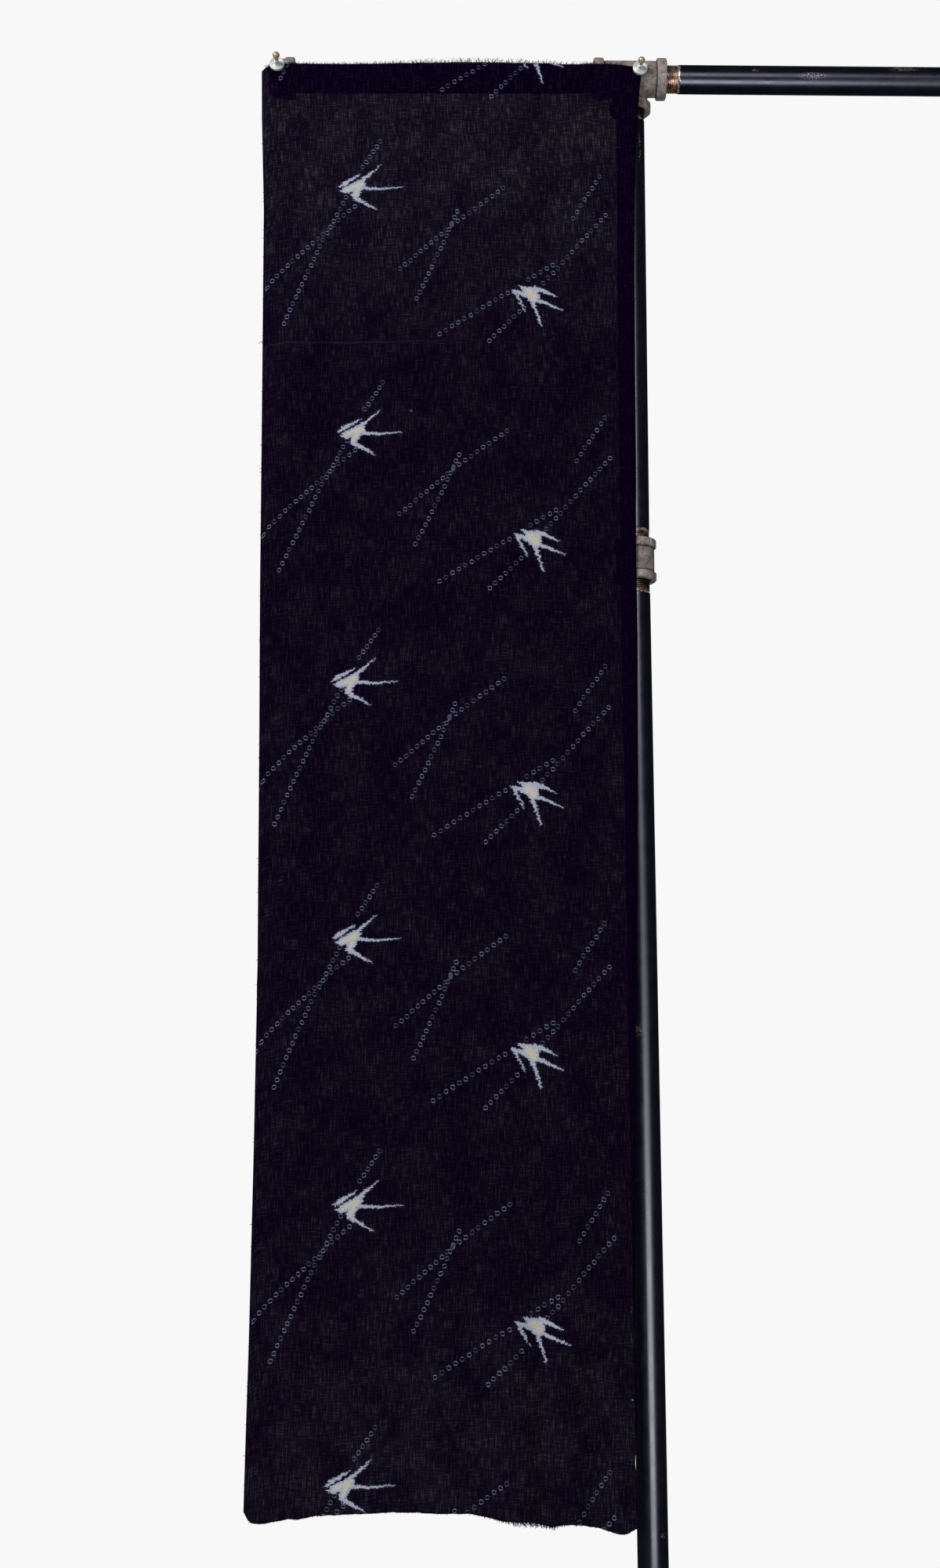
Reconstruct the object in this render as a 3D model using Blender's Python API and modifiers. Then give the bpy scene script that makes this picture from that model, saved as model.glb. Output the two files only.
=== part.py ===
"""Indigo kasuri cloth panel, hung by two magnetic pins from a stand of threaded iron pipe.

Metres, +Z up.  The origin is the centre of the base plate's underside, straight under the
foot of the post.  +X runs along the crossbar and +Y goes from the cloth towards the pipes.
"""

import math

import bmesh
import bpy
from mathutils import Matrix, Vector

# 3/4 inch iron pipe and its threads
PIPE_R = 0.013335
THREAD_R = 0.01275
THREAD_LENGTH = 0.020
THREAD_CONE = 0.0006
PIPE_SIDES = 32

# Gap left between two pieces that touch
GAP = 0.0003

# Malleable iron fittings: a body with a raised band round each mouth
BAND_R = 0.0194
BAND_WIDTH = 0.0088
BAND_CHAMFER = 0.0009
SOCKET_R = PIPE_R + GAP
WATERWAY_R = 0.0105
FITTING_SIDES = 32

TEE_REACH = 0.0340
TEE_BODY_R = 0.0168
TEE_SOCKET = 0.0125

COUPLING_LENGTH = 0.0382
COUPLING_BODY_R = 0.0176
COUPLING_BAND = 0.0076
COUPLING_STOP = 0.0030
COUPLING_DROP = 0.4681

CAP_LENGTH = 0.0250
CAP_BODY_R = 0.0180
CAP_SOCKET = 0.0150
CAP_DOME = 0.0075

# Thread left bare outside each mouth
BARE_AT_TEE_RUN = 0.0110
BARE_AT_TEE_BRANCH = 0.0080
BARE_ABOVE_COUPLING = 0.0079
BARE_BELOW_COUPLING = 0.0108
BARE_AT_FLANGE = 0.0080

# Crossbar: two 12 inch lengths, the left one sagging a little in its socket
ARM_LENGTH = 0.3048
ARM_CAP_MOUTH = 0.3159
LEFT_SAG = math.radians(0.42)

# Post: a short length above the coupling and a 5 ft length below, which leans a little
LOWER_LENGTH = 1.524
LOWER_LEAN = math.radians(0.37)

# Base: floor flange screwed to a flat steel plate
PLATE_SIDE = 0.420
PLATE_THICK = 0.010
PLATE_CORNER = 0.014
PLATE_EDGE = 0.0012
FLANGE_R = 0.0445
FLANGE_RIM = 0.0052
FLANGE_FLOOR = 0.0030
FLANGE_SEAT = PLATE_THICK + GAP
SCREW_CIRCLE_R = 0.0330
SCREW_HEAD_R = 0.0052
SCREW_HEAD = 0.0028
SCREW_SHANK_R = 0.0028
SCREW_DEPTH = 0.0055
SCREW_SIDES = 12
SCREW_COUNT = 4

# Levels up the post, worked out from the plate
PIPE_FOOT = FLANGE_SEAT + FLANGE_FLOOR + GAP
FLANGE_TOP = PIPE_FOOT + THREAD_LENGTH - BARE_AT_FLANGE
LOWER_TOP = PIPE_FOOT + LOWER_LENGTH * math.cos(LOWER_LEAN)
COUPLING_Z = LOWER_TOP - THREAD_LENGTH + BARE_BELOW_COUPLING + COUPLING_LENGTH / 2
BAR_Z = COUPLING_Z + COUPLING_DROP
COLUMN_X = -LOWER_LENGTH * math.sin(LOWER_LEAN)

# Magnetic pins: a disc magnet that carries a waisted knob
PIN_DISC_R = 0.0069
PIN_DISC = 0.0030
PIN_KNOB_REACH = 0.0117
PIN_BALL_R = 0.0031
PIN_WAIST_R = 0.0017
PIN_FOOT_R = 0.0030
PIN_SIDES = 24
LEFT_PIN_X = -0.3315
LEFT_PIN_TILT = math.radians(8.7)
RIGHT_PIN_X = 0.0083
RIGHT_PIN_TILT = math.radians(4.6)

# Cloth: one loom width, cut to length
CLOTH_THICK = 0.0010
CLOTH_COLUMNS = 34
CLOTH_ROWS = 52
CLOTH_CLEARANCE = 0.0005
HANG_R = BAND_R + CLOTH_CLEARANCE + CLOTH_THICK / 2
TEE_TOUCH_R = TEE_BODY_R + GAP + CLOTH_THICK / 2
DIMPLE_FLAT = 0.009
DIMPLE_EDGE = 0.026

# Outline of the hanging cloth, x from the post's axis and z from the bar's axis
TOP_EDGE = (
    # x, z
    (-0.3458, -0.0055),
    (-0.3396, 0.0007),
    (-0.3200, 0.0032),
    (-0.2610, 0.0027),
    (-0.2000, 0.0050),
    (-0.1600, 0.0063),
    (-0.0780, 0.0057),
    (-0.0230, 0.0053),
    (0.0095, 0.0040),
)
HEM = (
    # x, z
    (-0.3431, -1.3000),
    (-0.3379, -1.3084),
    (-0.3258, -1.3099),
    (-0.2830, -1.3028),
    (-0.2060, -1.3003),
    (-0.1500, -1.3020),
    (-0.1260, -1.3078),
    (-0.0940, -1.3133),
    (-0.0820, -1.3159),
    (-0.0656, -1.3116),
    (-0.0420, -1.3141),
    (-0.0210, -1.3196),
    (-0.0105, -1.3161),
)
LEFT_EDGE = (
    # z, x
    (-1.3000, -0.3431),
    (-1.2370, -0.3421),
    (-1.1590, -0.3406),
    (-1.0000, -0.3388),
    (-0.8370, -0.3378),
    (-0.6700, -0.3389),
    (-0.4990, -0.3404),
    (-0.3230, -0.3411),
    (-0.1420, -0.3420),
    (-0.0500, -0.3451),
    (-0.0055, -0.3458),
)
RIGHT_EDGE = (
    # z, x
    (-1.3161, -0.0105),
    (-1.2570, -0.0119),
    (-1.1720, -0.0112),
    (-1.1550, -0.0134),
    (-1.1390, -0.0112),
    (-0.9190, -0.0084),
    (-0.6760, -0.0043),
    (-0.4320, -0.0007),
    (-0.2390, 0.0021),
    (-0.0400, 0.0058),
    (-0.0200, 0.0073),
    (-0.0060, 0.0093),
    (0.0040, 0.0095),
)
# Folds: soft upright ridges (forward is positive) that fade in below the level z_from
FOLDS = (
    # x, x_drift, half_width, forward, z_from, z_full
    (-0.300, 0.000, 0.022, 0.0022, -0.30, -0.95),
    (-0.232, 0.010, 0.026, -0.0016, -0.45, -1.10),
    (-0.168, -0.006, 0.024, 0.0026, -0.55, -1.25),
    (-0.122, 0.010, 0.015, 0.0072, -0.95, -1.29),
    (-0.092, 0.006, 0.011, -0.0046, -1.00, -1.29),
    (-0.062, -0.004, 0.012, 0.0078, -0.85, -1.28),
    (-0.036, -0.004, 0.010, -0.0040, -0.80, -1.25),
    (-0.012, -0.004, 0.008, -0.0044, -0.70, -1.20),
)
# Level creases: short soft ridges across the cloth
CREASES = (
    # x, z, half_length, half_height, forward, slope
    (-0.030, -1.1560, 0.030, 0.0090, 0.0052, 0.10),
    (-0.034, -1.1790, 0.024, 0.0080, -0.0026, 0.10),
    (-0.334, -0.8560, 0.012, 0.0070, 0.0024, 0.05),
    (-0.248, -0.9330, 0.026, 0.0080, 0.0016, -0.30),
    (-0.040, -1.2660, 0.040, 0.0140, 0.0030, -0.15),
)


def clear_scene():
    for item in list(bpy.data.objects):
        bpy.data.objects.remove(item, do_unlink=True)


def make_collection(name):
    collection = bpy.data.collections.new(name)
    bpy.context.scene.collection.children.link(collection)
    return collection


def make_material(name, color, roughness, metallic):
    material = bpy.data.materials.new(name)
    material.use_nodes = True
    shader = material.node_tree.nodes["Principled BSDF"]
    shader.inputs["Base Color"].default_value = (*color, 1.0)
    shader.inputs["Roughness"].default_value = roughness
    shader.inputs["Metallic"].default_value = metallic
    return material


def add_object(name, mesh, collection, material=None):
    item = bpy.data.objects.new(name, mesh)
    collection.objects.link(item)
    if material is not None:
        mesh.materials.append(material)
    return item


def turned(name, profile, sides, collection, material=None, closed=False):
    """Turn an outline of (radius, height) points, outer side from top to bottom, about Z."""
    bm = bmesh.new()
    points = [bm.verts.new((radius, 0.0, height)) for radius, height in profile]
    for first, second in zip(points, points[1:]):
        bm.edges.new((first, second))
    if closed:
        bm.edges.new((points[-1], points[0]))
    mesh = bpy.data.meshes.new(name)
    bm.to_mesh(mesh)
    bm.free()
    item = add_object(name, mesh, collection, material)
    screw = item.modifiers.new("Turn", "SCREW")
    screw.axis = "Z"
    screw.steps = sides
    screw.render_steps = sides
    screw.use_merge_vertices = True
    screw.merge_threshold = 0.00001
    screw.use_smooth_shade = True
    return item


def cylinder_cutter(name, radius, low, high, collection, sides=FITTING_SIDES):
    bm = bmesh.new()
    bmesh.ops.create_cone(
        bm,
        cap_ends=True,
        segments=sides,
        radius1=radius,
        radius2=radius,
        depth=high - low,
        matrix=Matrix.Translation((0.0, 0.0, (high + low) / 2)),
    )
    mesh = bpy.data.meshes.new(name)
    bm.to_mesh(mesh)
    bm.free()
    item = add_object(name, mesh, collection)
    item.hide_render = True
    item.display_type = "WIRE"
    return item


def boolean(item, other, operation):
    modifier = item.modifiers.new(other.name, "BOOLEAN")
    modifier.operation = operation
    modifier.solver = "EXACT"
    modifier.object = other


def along(table, position):
    """Height of a table of (position, height) rows at a position, held flat past its ends."""
    if position <= table[0][0]:
        return table[0][1]
    for (start, low), (end, high) in zip(table, table[1:]):
        if position <= end:
            return low + (high - low) * (position - start) / (end - start)
    return table[-1][1]


def smooth_step(start, end, value):
    share = min(1.0, max(0.0, (value - start) / (end - start)))
    return share * share * (3.0 - 2.0 * share)


# The iron stand


def pipe_profile(length):
    """Full pipe with a slightly thinner threaded stretch at each end."""
    top = length - THREAD_LENGTH
    return (
        (0.0, length),
        (THREAD_R, length),
        (THREAD_R, top),
        (PIPE_R, top - THREAD_CONE),
        (PIPE_R, THREAD_LENGTH + THREAD_CONE),
        (THREAD_R, THREAD_LENGTH),
        (THREAD_R, 0.0),
        (0.0, 0.0),
    )


def band_run(reach, body_r, band=BAND_WIDTH):
    """Outer outline of a fitting with a band at both mouths, z from +reach to -reach."""
    inner = reach - band
    return (
        (BAND_R - BAND_CHAMFER, reach),
        (BAND_R, reach - BAND_CHAMFER),
        (BAND_R, inner + BAND_CHAMFER),
        (BAND_R - BAND_CHAMFER, inner),
        (body_r, inner - BAND_CHAMFER / 2),
        (body_r, -inner + BAND_CHAMFER / 2),
        (BAND_R - BAND_CHAMFER, -inner),
        (BAND_R, -inner - BAND_CHAMFER),
        (BAND_R, -reach + BAND_CHAMFER),
        (BAND_R - BAND_CHAMFER, -reach),
    )


def build_tee(collection, cutters, material):
    run_outline = ((0.0, TEE_REACH),) + band_run(TEE_REACH, TEE_BODY_R) + ((0.0, -TEE_REACH),)
    tee = turned("tee", run_outline, FITTING_SIDES, collection, material)
    tee.rotation_euler = (0.0, math.radians(90.0), 0.0)
    tee.location = (COLUMN_X, 0.0, BAR_Z)

    inner = TEE_REACH - BAND_WIDTH
    branch_outline = (
        (0.0, 0.0),
        (TEE_BODY_R - 0.0002, 0.0),
        (TEE_BODY_R - 0.0002, -inner + BAND_CHAMFER / 2),
        (BAND_R - BAND_CHAMFER, -inner),
        (BAND_R, -inner - BAND_CHAMFER),
        (BAND_R, -TEE_REACH + BAND_CHAMFER),
        (BAND_R - BAND_CHAMFER, -TEE_REACH),
        (0.0, -TEE_REACH),
    )
    branch = turned("tee branch", branch_outline, FITTING_SIDES, cutters)
    branch.hide_render = True
    branch.display_type = "WIRE"
    branch.location = (COLUMN_X, 0.0, BAR_Z)
    boolean(tee, branch, "UNION")

    mouth = TEE_REACH + 0.002
    shoulder = TEE_REACH - TEE_SOCKET
    turns = (
        ("tee right socket", (0.0, math.radians(90.0), 0.0)),
        ("tee left socket", (0.0, math.radians(-90.0), 0.0)),
        ("tee lower socket", (math.radians(180.0), 0.0, 0.0)),
    )
    for name, turn in turns:
        socket = cylinder_cutter(name, SOCKET_R, shoulder, mouth, cutters)
        socket.rotation_euler = turn
        socket.location = (COLUMN_X, 0.0, BAR_Z)
        boolean(tee, socket, "DIFFERENCE")
    return tee


def build_coupling(collection, material):
    half = COUPLING_LENGTH / 2
    outer = band_run(half, COUPLING_BODY_R, COUPLING_BAND)
    inner = (
        (SOCKET_R, -half),
        (SOCKET_R, -COUPLING_STOP / 2),
        (WATERWAY_R, -COUPLING_STOP / 2),
        (WATERWAY_R, COUPLING_STOP / 2),
        (SOCKET_R, COUPLING_STOP / 2),
        (SOCKET_R, half),
    )
    coupling = turned("coupling", outer + inner, FITTING_SIDES, collection, material, closed=True)
    coupling.location = (COLUMN_X, 0.0, COUPLING_Z)
    return coupling


def cap_profile():
    """Cap with its mouth at z = 0, its dome at the top and its socket opening downwards."""
    shoulder = CAP_LENGTH - CAP_DOME
    dome = []
    for step in range(1, 5):
        angle = math.radians(90.0 * step / 5)
        flat = CAP_BODY_R * (1.0 - math.cos(angle)) * 0.55
        dome.append((CAP_BODY_R - flat, shoulder + CAP_DOME * math.sin(angle)))
    dome.reverse()
    return (
        (0.0, CAP_LENGTH),
        (CAP_BODY_R * 0.42, CAP_LENGTH),
        *dome,
        (CAP_BODY_R, shoulder),
        (CAP_BODY_R, BAND_WIDTH + BAND_CHAMFER / 2),
        (BAND_R - BAND_CHAMFER, BAND_WIDTH),
        (BAND_R, BAND_WIDTH - BAND_CHAMFER),
        (BAND_R, BAND_CHAMFER),
        (BAND_R - BAND_CHAMFER, 0.0),
        (SOCKET_R, 0.0),
        (SOCKET_R, CAP_SOCKET),
        (0.0, CAP_SOCKET),
    )


def build_arm(side, collection, pipe_material, cap_material):
    """One half of the crossbar with its end cap; side is -1 for the left and 1 for the right."""
    label = "left" if side < 0 else "right"
    sag = LEFT_SAG if side < 0 else 0.0
    pivot = TEE_REACH - TEE_SOCKET / 2
    holder = bpy.data.objects.new(f"arm_{label}", None)
    collection.objects.link(holder)
    holder.location = (COLUMN_X + side * pivot, 0.0, BAR_Z)
    holder.rotation_euler = (0.0, side * (math.radians(90.0) + sag), 0.0)

    pipe = turned(f"bar_{label}", pipe_profile(ARM_LENGTH), PIPE_SIDES, collection, pipe_material)
    pipe.parent = holder
    pipe.location = (0.0, 0.0, TEE_REACH + BARE_AT_TEE_RUN - THREAD_LENGTH - pivot)

    cap = turned(f"cap_{label}", cap_profile(), FITTING_SIDES, collection, cap_material)
    cap.parent = holder
    cap.location = (0.0, 0.0, ARM_CAP_MOUTH - pivot)


def build_post(collection, material):
    top = BAR_Z - TEE_REACH - BARE_AT_TEE_BRANCH + THREAD_LENGTH
    foot = COUPLING_Z + COUPLING_LENGTH / 2 + BARE_ABOVE_COUPLING - THREAD_LENGTH
    upper = turned("post_upper", pipe_profile(top - foot), PIPE_SIDES, collection, material)
    upper.location = (COLUMN_X, 0.0, foot)

    lower = turned("post_lower", pipe_profile(LOWER_LENGTH), PIPE_SIDES, collection, material)
    lower.location = (0.0, 0.0, PIPE_FOOT)
    lower.rotation_euler = (0.0, -LOWER_LEAN, 0.0)


def screw_places():
    for index in range(SCREW_COUNT):
        angle = math.radians(45.0 + 360.0 * index / SCREW_COUNT)
        yield index + 1, SCREW_CIRCLE_R * math.cos(angle), SCREW_CIRCLE_R * math.sin(angle)


def build_base(collection, cutters, plate_material, iron, steel):
    bm = bmesh.new()
    bmesh.ops.create_cube(bm, size=1.0)
    bmesh.ops.scale(bm, vec=(PLATE_SIDE, PLATE_SIDE, PLATE_THICK), verts=bm.verts)
    bmesh.ops.translate(bm, vec=(0.0, 0.0, PLATE_THICK / 2), verts=bm.verts)
    upright = [edge for edge in bm.edges if abs(edge.verts[0].co.z - edge.verts[1].co.z) > 0.001]
    bmesh.ops.bevel(bm, geom=upright, offset=PLATE_CORNER, segments=5, affect="EDGES", profile=0.5)
    mesh = bpy.data.meshes.new("base_plate")
    bm.to_mesh(mesh)
    bm.free()
    plate = add_object("base_plate", mesh, collection, plate_material)
    edge_bevel = plate.modifiers.new("Broken edges", "BEVEL")
    edge_bevel.width = PLATE_EDGE
    edge_bevel.segments = 2
    edge_bevel.limit_method = "ANGLE"
    edge_bevel.angle_limit = math.radians(50.0)

    flange_outline = (
        (BAND_R - BAND_CHAMFER, FLANGE_TOP),
        (BAND_R, FLANGE_TOP - BAND_CHAMFER),
        (BAND_R + 0.0006, FLANGE_SEAT + FLANGE_RIM + 0.0020),
        (BAND_R + 0.0026, FLANGE_SEAT + FLANGE_RIM),
        (FLANGE_R - 0.0010, FLANGE_SEAT + FLANGE_RIM - 0.0006),
        (FLANGE_R, FLANGE_SEAT + FLANGE_RIM - 0.0016),
        (FLANGE_R, FLANGE_SEAT),
        (0.0, FLANGE_SEAT),
    )
    flange_socket = ((0.0, PIPE_FOOT - GAP), (SOCKET_R, PIPE_FOOT - GAP), (SOCKET_R, FLANGE_TOP))
    flange = turned(
        "floor_flange", flange_socket + flange_outline, FITTING_SIDES, collection, iron
    )

    head_seat = FLANGE_SEAT + FLANGE_RIM + GAP
    screw_outline = (
        (0.0, head_seat + SCREW_HEAD),
        (SCREW_HEAD_R * 0.62, head_seat + SCREW_HEAD * 0.92),
        (SCREW_HEAD_R, head_seat + SCREW_HEAD * 0.35),
        (SCREW_HEAD_R, head_seat),
        (SCREW_SHANK_R, head_seat),
        (SCREW_SHANK_R, PLATE_THICK - SCREW_DEPTH),
        (0.0, PLATE_THICK - SCREW_DEPTH),
    )
    for number, x, y in screw_places():
        screw = turned(
            f"flange_screw_{number}", screw_outline, SCREW_SIDES, collection, steel
        )
        screw.location = (x, y, 0.0)
        hole = cylinder_cutter(
            f"screw hole {number}",
            SCREW_SHANK_R + GAP,
            PLATE_THICK - SCREW_DEPTH - GAP,
            head_seat + 0.002,
            cutters,
            SCREW_SIDES,
        )
        hole.location = (x, y, 0.0)
        boolean(plate, hole, "DIFFERENCE")
        boolean(flange, hole, "DIFFERENCE")


# The cloth


def bar_axis_z(x):
    """Height of the bar's axis over the tee's, where the left arm sags."""
    past = -x - (TEE_REACH - TEE_SOCKET / 2)
    return -max(0.0, past) * math.tan(LEFT_SAG)


def right_pin_height():
    return (TEE_TOUCH_R + CLOTH_THICK / 2) * math.sin(RIGHT_PIN_TILT)


def fold_depth(x, z):
    """How far the folds and creases bring the cloth forward."""
    forward = 0.0
    for center, drift, half_width, height, z_from, z_full in FOLDS:
        share = smooth_step(-z_from, -z_full, -z)
        offset = (x - center - drift * share) / half_width
        forward += height * share * math.exp(-offset * offset)
    for center_x, center_z, half_length, half_height, height, slope in CREASES:
        across = (x - center_x) / half_length
        upright = (z - center_z - slope * (x - center_x)) / half_height
        forward += height * math.exp(-across * across - upright * upright)
    return forward


def cloth_point(across, down):
    """Middle of the cloth's thickness for a share of its width and of its length."""
    top_x = TOP_EDGE[0][0] + across * (TOP_EDGE[-1][0] - TOP_EDGE[0][0])
    hem_x = HEM[0][0] + across * (HEM[-1][0] - HEM[0][0])
    top_z = along(TOP_EDGE, top_x)
    z = top_z + down * (along(HEM, hem_x) - top_z)
    left = along(LEFT_EDGE, z)
    x = left + across * (along(RIGHT_EDGE, z) - left)

    lift = max(0.0, z - bar_axis_z(x))
    y = -math.sqrt(HANG_R**2 - lift**2)
    reach = math.hypot(x - RIGHT_PIN_X, z - right_pin_height())
    y += (HANG_R - TEE_TOUCH_R) * (1.0 - smooth_step(DIMPLE_FLAT, DIMPLE_EDGE, reach))
    y -= fold_depth(x, z)
    return Vector((x + COLUMN_X, y, z + BAR_Z))


def crowd_ends(share, strength):
    """Shift an even share so that rows crowd towards both ends."""
    return share - strength * math.sin(2.0 * math.pi * share) / (2.0 * math.pi)


def build_cloth(collection, material):
    bm = bmesh.new()
    bmesh.ops.create_grid(
        bm, x_segments=CLOTH_COLUMNS, y_segments=CLOTH_ROWS, size=0.5
    )
    for vert in bm.verts:
        across = crowd_ends(vert.co.x + 0.5, 0.45)
        down = crowd_ends(0.5 - vert.co.y, 0.72)
        vert.co = cloth_point(across, down)
    bmesh.ops.recalc_face_normals(bm, faces=bm.faces)
    for face in bm.faces:
        face.smooth = True
    mesh = bpy.data.meshes.new("cloth_panel")
    bm.to_mesh(mesh)
    bm.free()
    cloth = add_object("cloth_panel", mesh, collection, material)
    solidify = cloth.modifiers.new("Thickness", "SOLIDIFY")
    solidify.thickness = CLOTH_THICK
    solidify.offset = 0.0
    return cloth


# The pins


def knob_profile():
    """Waisted knob, foot at z = 0 and ball at the top."""
    reach = PIN_KNOB_REACH - PIN_BALL_R
    ball = []
    for step in range(1, 7):
        angle = math.radians(25.0 * step)
        ball.append((PIN_BALL_R * math.sin(angle), PIN_KNOB_REACH + PIN_BALL_R * math.cos(angle)))
    return (
        (0.0, PIN_KNOB_REACH + PIN_BALL_R),
        *ball,
        (PIN_WAIST_R, reach * 0.78),
        (PIN_WAIST_R * 1.06, reach * 0.50),
        (PIN_FOOT_R * 0.80, reach * 0.20),
        (PIN_FOOT_R, reach * 0.06),
        (PIN_FOOT_R, 0.0),
        (0.0, 0.0),
    )


def disc_profile():
    edge = 0.0004
    return (
        (0.0, PIN_DISC),
        (PIN_DISC_R - edge, PIN_DISC),
        (PIN_DISC_R, PIN_DISC - edge),
        (PIN_DISC_R, edge),
        (PIN_DISC_R - edge, 0.0),
        (0.0, 0.0),
    )


def build_pin(label, x, axis_z, seat_r, tilt, collection, disc_material, knob_material):
    """A pin whose back lies seat_r out from the iron's axis, turned up by its tilt."""
    holder = bpy.data.objects.new(f"pin_{label}", None)
    collection.objects.link(holder)
    holder.location = (
        COLUMN_X + x,
        -seat_r * math.cos(tilt),
        BAR_Z + axis_z + seat_r * math.sin(tilt),
    )
    holder.rotation_euler = (math.radians(90.0) - tilt, 0.0, 0.0)
    disc = turned(
        f"pin_{label}_disc", disc_profile(), PIN_SIDES, collection, disc_material
    )
    disc.parent = holder
    knob = turned(
        f"pin_{label}_knob", knob_profile(), PIN_SIDES, collection, knob_material
    )
    knob.parent = holder
    knob.location = (0.0, 0.0, PIN_DISC + GAP)


def main():
    clear_scene()
    parts = make_collection("indigo_cloth_panel")
    cutters = make_collection("cutters")

    indigo = make_material("indigo cotton", (0.0077, 0.0052, 0.0141), 0.92, 0.0)
    lacquer = make_material("black lacquer", (0.010, 0.010, 0.014), 0.38, 0.0)
    iron = make_material("cast iron", (0.150, 0.130, 0.120), 0.62, 0.75)
    zinc = make_material("zinc", (0.62, 0.63, 0.61), 0.35, 0.9)
    polished = make_material("polished knob", (0.72, 0.66, 0.52), 0.12, 1.0)
    screw_steel = make_material("blackened screws", (0.06, 0.06, 0.065), 0.45, 0.8)

    build_base(parts, cutters, lacquer, iron, screw_steel)
    build_post(parts, lacquer)
    build_coupling(parts, iron)
    build_tee(parts, cutters, iron)
    for side in (-1, 1):
        build_arm(side, parts, lacquer, iron)
    build_cloth(parts, indigo)

    pin_seat = CLOTH_THICK / 2 + GAP
    build_pin(
        "left", LEFT_PIN_X, bar_axis_z(LEFT_PIN_X), HANG_R + pin_seat, LEFT_PIN_TILT,
        parts, zinc, polished,
    )
    build_pin(
        "right", RIGHT_PIN_X, 0.0, TEE_TOUCH_R + pin_seat, RIGHT_PIN_TILT,
        parts, zinc, polished,
    )


main()
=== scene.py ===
# %% [markdown]
# A length of indigo cloth, with small undyed birds and chains of rings in it, hangs by two
# magnetic pins from a stand of iron pipe. The solids already exist as a fixed frame. This
# lesson dresses them: it loads the frame first, so that every piece can be made where it goes.

import math
import random

import bmesh
import bpy
from mathutils import Matrix, Vector, noise


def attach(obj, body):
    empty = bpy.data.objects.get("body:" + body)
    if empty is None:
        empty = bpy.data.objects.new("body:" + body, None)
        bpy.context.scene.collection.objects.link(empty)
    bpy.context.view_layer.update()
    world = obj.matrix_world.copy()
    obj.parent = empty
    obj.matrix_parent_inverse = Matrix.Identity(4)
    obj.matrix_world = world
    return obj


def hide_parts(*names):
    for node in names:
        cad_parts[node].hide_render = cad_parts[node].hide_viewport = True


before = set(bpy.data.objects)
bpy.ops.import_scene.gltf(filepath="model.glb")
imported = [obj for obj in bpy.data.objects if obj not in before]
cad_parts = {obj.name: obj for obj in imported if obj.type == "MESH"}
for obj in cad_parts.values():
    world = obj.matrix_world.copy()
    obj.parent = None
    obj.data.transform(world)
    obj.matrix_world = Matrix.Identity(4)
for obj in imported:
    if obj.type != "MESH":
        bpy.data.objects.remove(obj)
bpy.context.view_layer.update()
random.seed(41)

# %% [markdown]
# The photograph was taken with a normal lens from about two metres, low and tilted up a
# little, so the pipes lean together slightly. A camera could be turned by eye, but the pipe
# fittings have standard sizes, so its place was worked out from them and is typed in here.

# %% Camera
COLUMN_X = -0.0098415
BAR_Z = 2.0155682


def put_in_scene(name, data):
    item = bpy.data.objects.new(name, data)
    bpy.context.collection.objects.link(item)
    return item


lens = bpy.data.cameras.new("camera")
lens.lens = 50.0
lens.sensor_width = 36.0
camera = put_in_scene("camera", lens)
camera.location = (COLUMN_X - 0.18545, -1.93589, BAR_Z - 0.96316)
camera.rotation_euler = (math.radians(90.0) + 0.14812, 0.0, -0.01781)
bpy.context.scene.camera = camera
bpy.context.scene.view_settings.view_transform = "Standard"
print("camera stands at", [round(value, 3) for value in camera.location])

# %% [markdown]
# A graph of nodes is easier to read when each node is one line of code. These helpers add a
# node and fill its sockets, either with plain values or with other nodes' outputs.

# %% Helpers for nodes
def put(tree, kind, inputs=(), **settings):
    node = tree.nodes.new(kind)
    for name, value in settings.items():
        setattr(node, name, value)
    for key, value in dict(inputs).items():
        if isinstance(value, bpy.types.NodeSocket):
            tree.links.new(value, node.inputs[key])
        else:
            node.inputs[key].default_value = value
    return node


def maths(tree, operation, *values, clamp=False):
    node = put(tree, "ShaderNodeMath", enumerate(values), operation=operation, use_clamp=clamp)
    return node.outputs[0]


def vector_maths(tree, operation, *values, result="Vector"):
    node = put(tree, "ShaderNodeVectorMath", enumerate(values), operation=operation)
    return node.outputs[result]


def ramp(tree, value, low, high, to_low=0.0, to_high=1.0):
    """A soft step: to_low below low, to_high above high."""
    inputs = {0: value, 1: low, 2: high, 3: to_low, 4: to_high}
    node = put(tree, "ShaderNodeMapRange", inputs, interpolation_type="SMOOTHSTEP")
    return node.outputs[0]


def blend(tree, share, first, second, way="MIX"):
    inputs = {0: share, 6: first, 7: second}
    node = put(tree, "ShaderNodeMix", inputs, data_type="RGBA", blend_type=way)
    return node.outputs[2]


def speckle(tree, where, scale, detail, roughness=0.5):
    inputs = {"Vector": where, "Scale": scale, "Detail": detail, "Roughness": roughness}
    return put(tree, "ShaderNodeTexNoise", inputs).outputs[0]


def split(tree, vector):
    return list(put(tree, "ShaderNodeSeparateXYZ", {0: vector}).outputs)


def painted(tree, name):
    """A share that was noted on the mesh, corner by corner."""
    return put(tree, "ShaderNodeAttribute", attribute_name=name).outputs["Fac"]


def relief(tree, height, strength, distance):
    inputs = {"Strength": strength, "Distance": distance, "Height": height}
    return put(tree, "ShaderNodeBump", inputs).outputs[0]


def feed(tree, sockets, **values):
    """Link each value to the socket of its name, with _ for a space."""
    for label, value in values.items():
        tree.links.new(value, sockets[label.replace("_", " ")])


def new_group(name, takes, gives):
    tree = bpy.data.node_groups.new(name, "ShaderNodeTree")
    for label, kind, value in takes:
        socket = tree.interface.new_socket(label, in_out="INPUT", socket_type=kind)
        if value is not None:
            socket.default_value = value
    for label, kind in gives:
        tree.interface.new_socket(label, in_out="OUTPUT", socket_type=kind)
    return tree, tree.nodes.new("NodeGroupInput").outputs, tree.nodes.new("NodeGroupOutput").inputs


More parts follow.
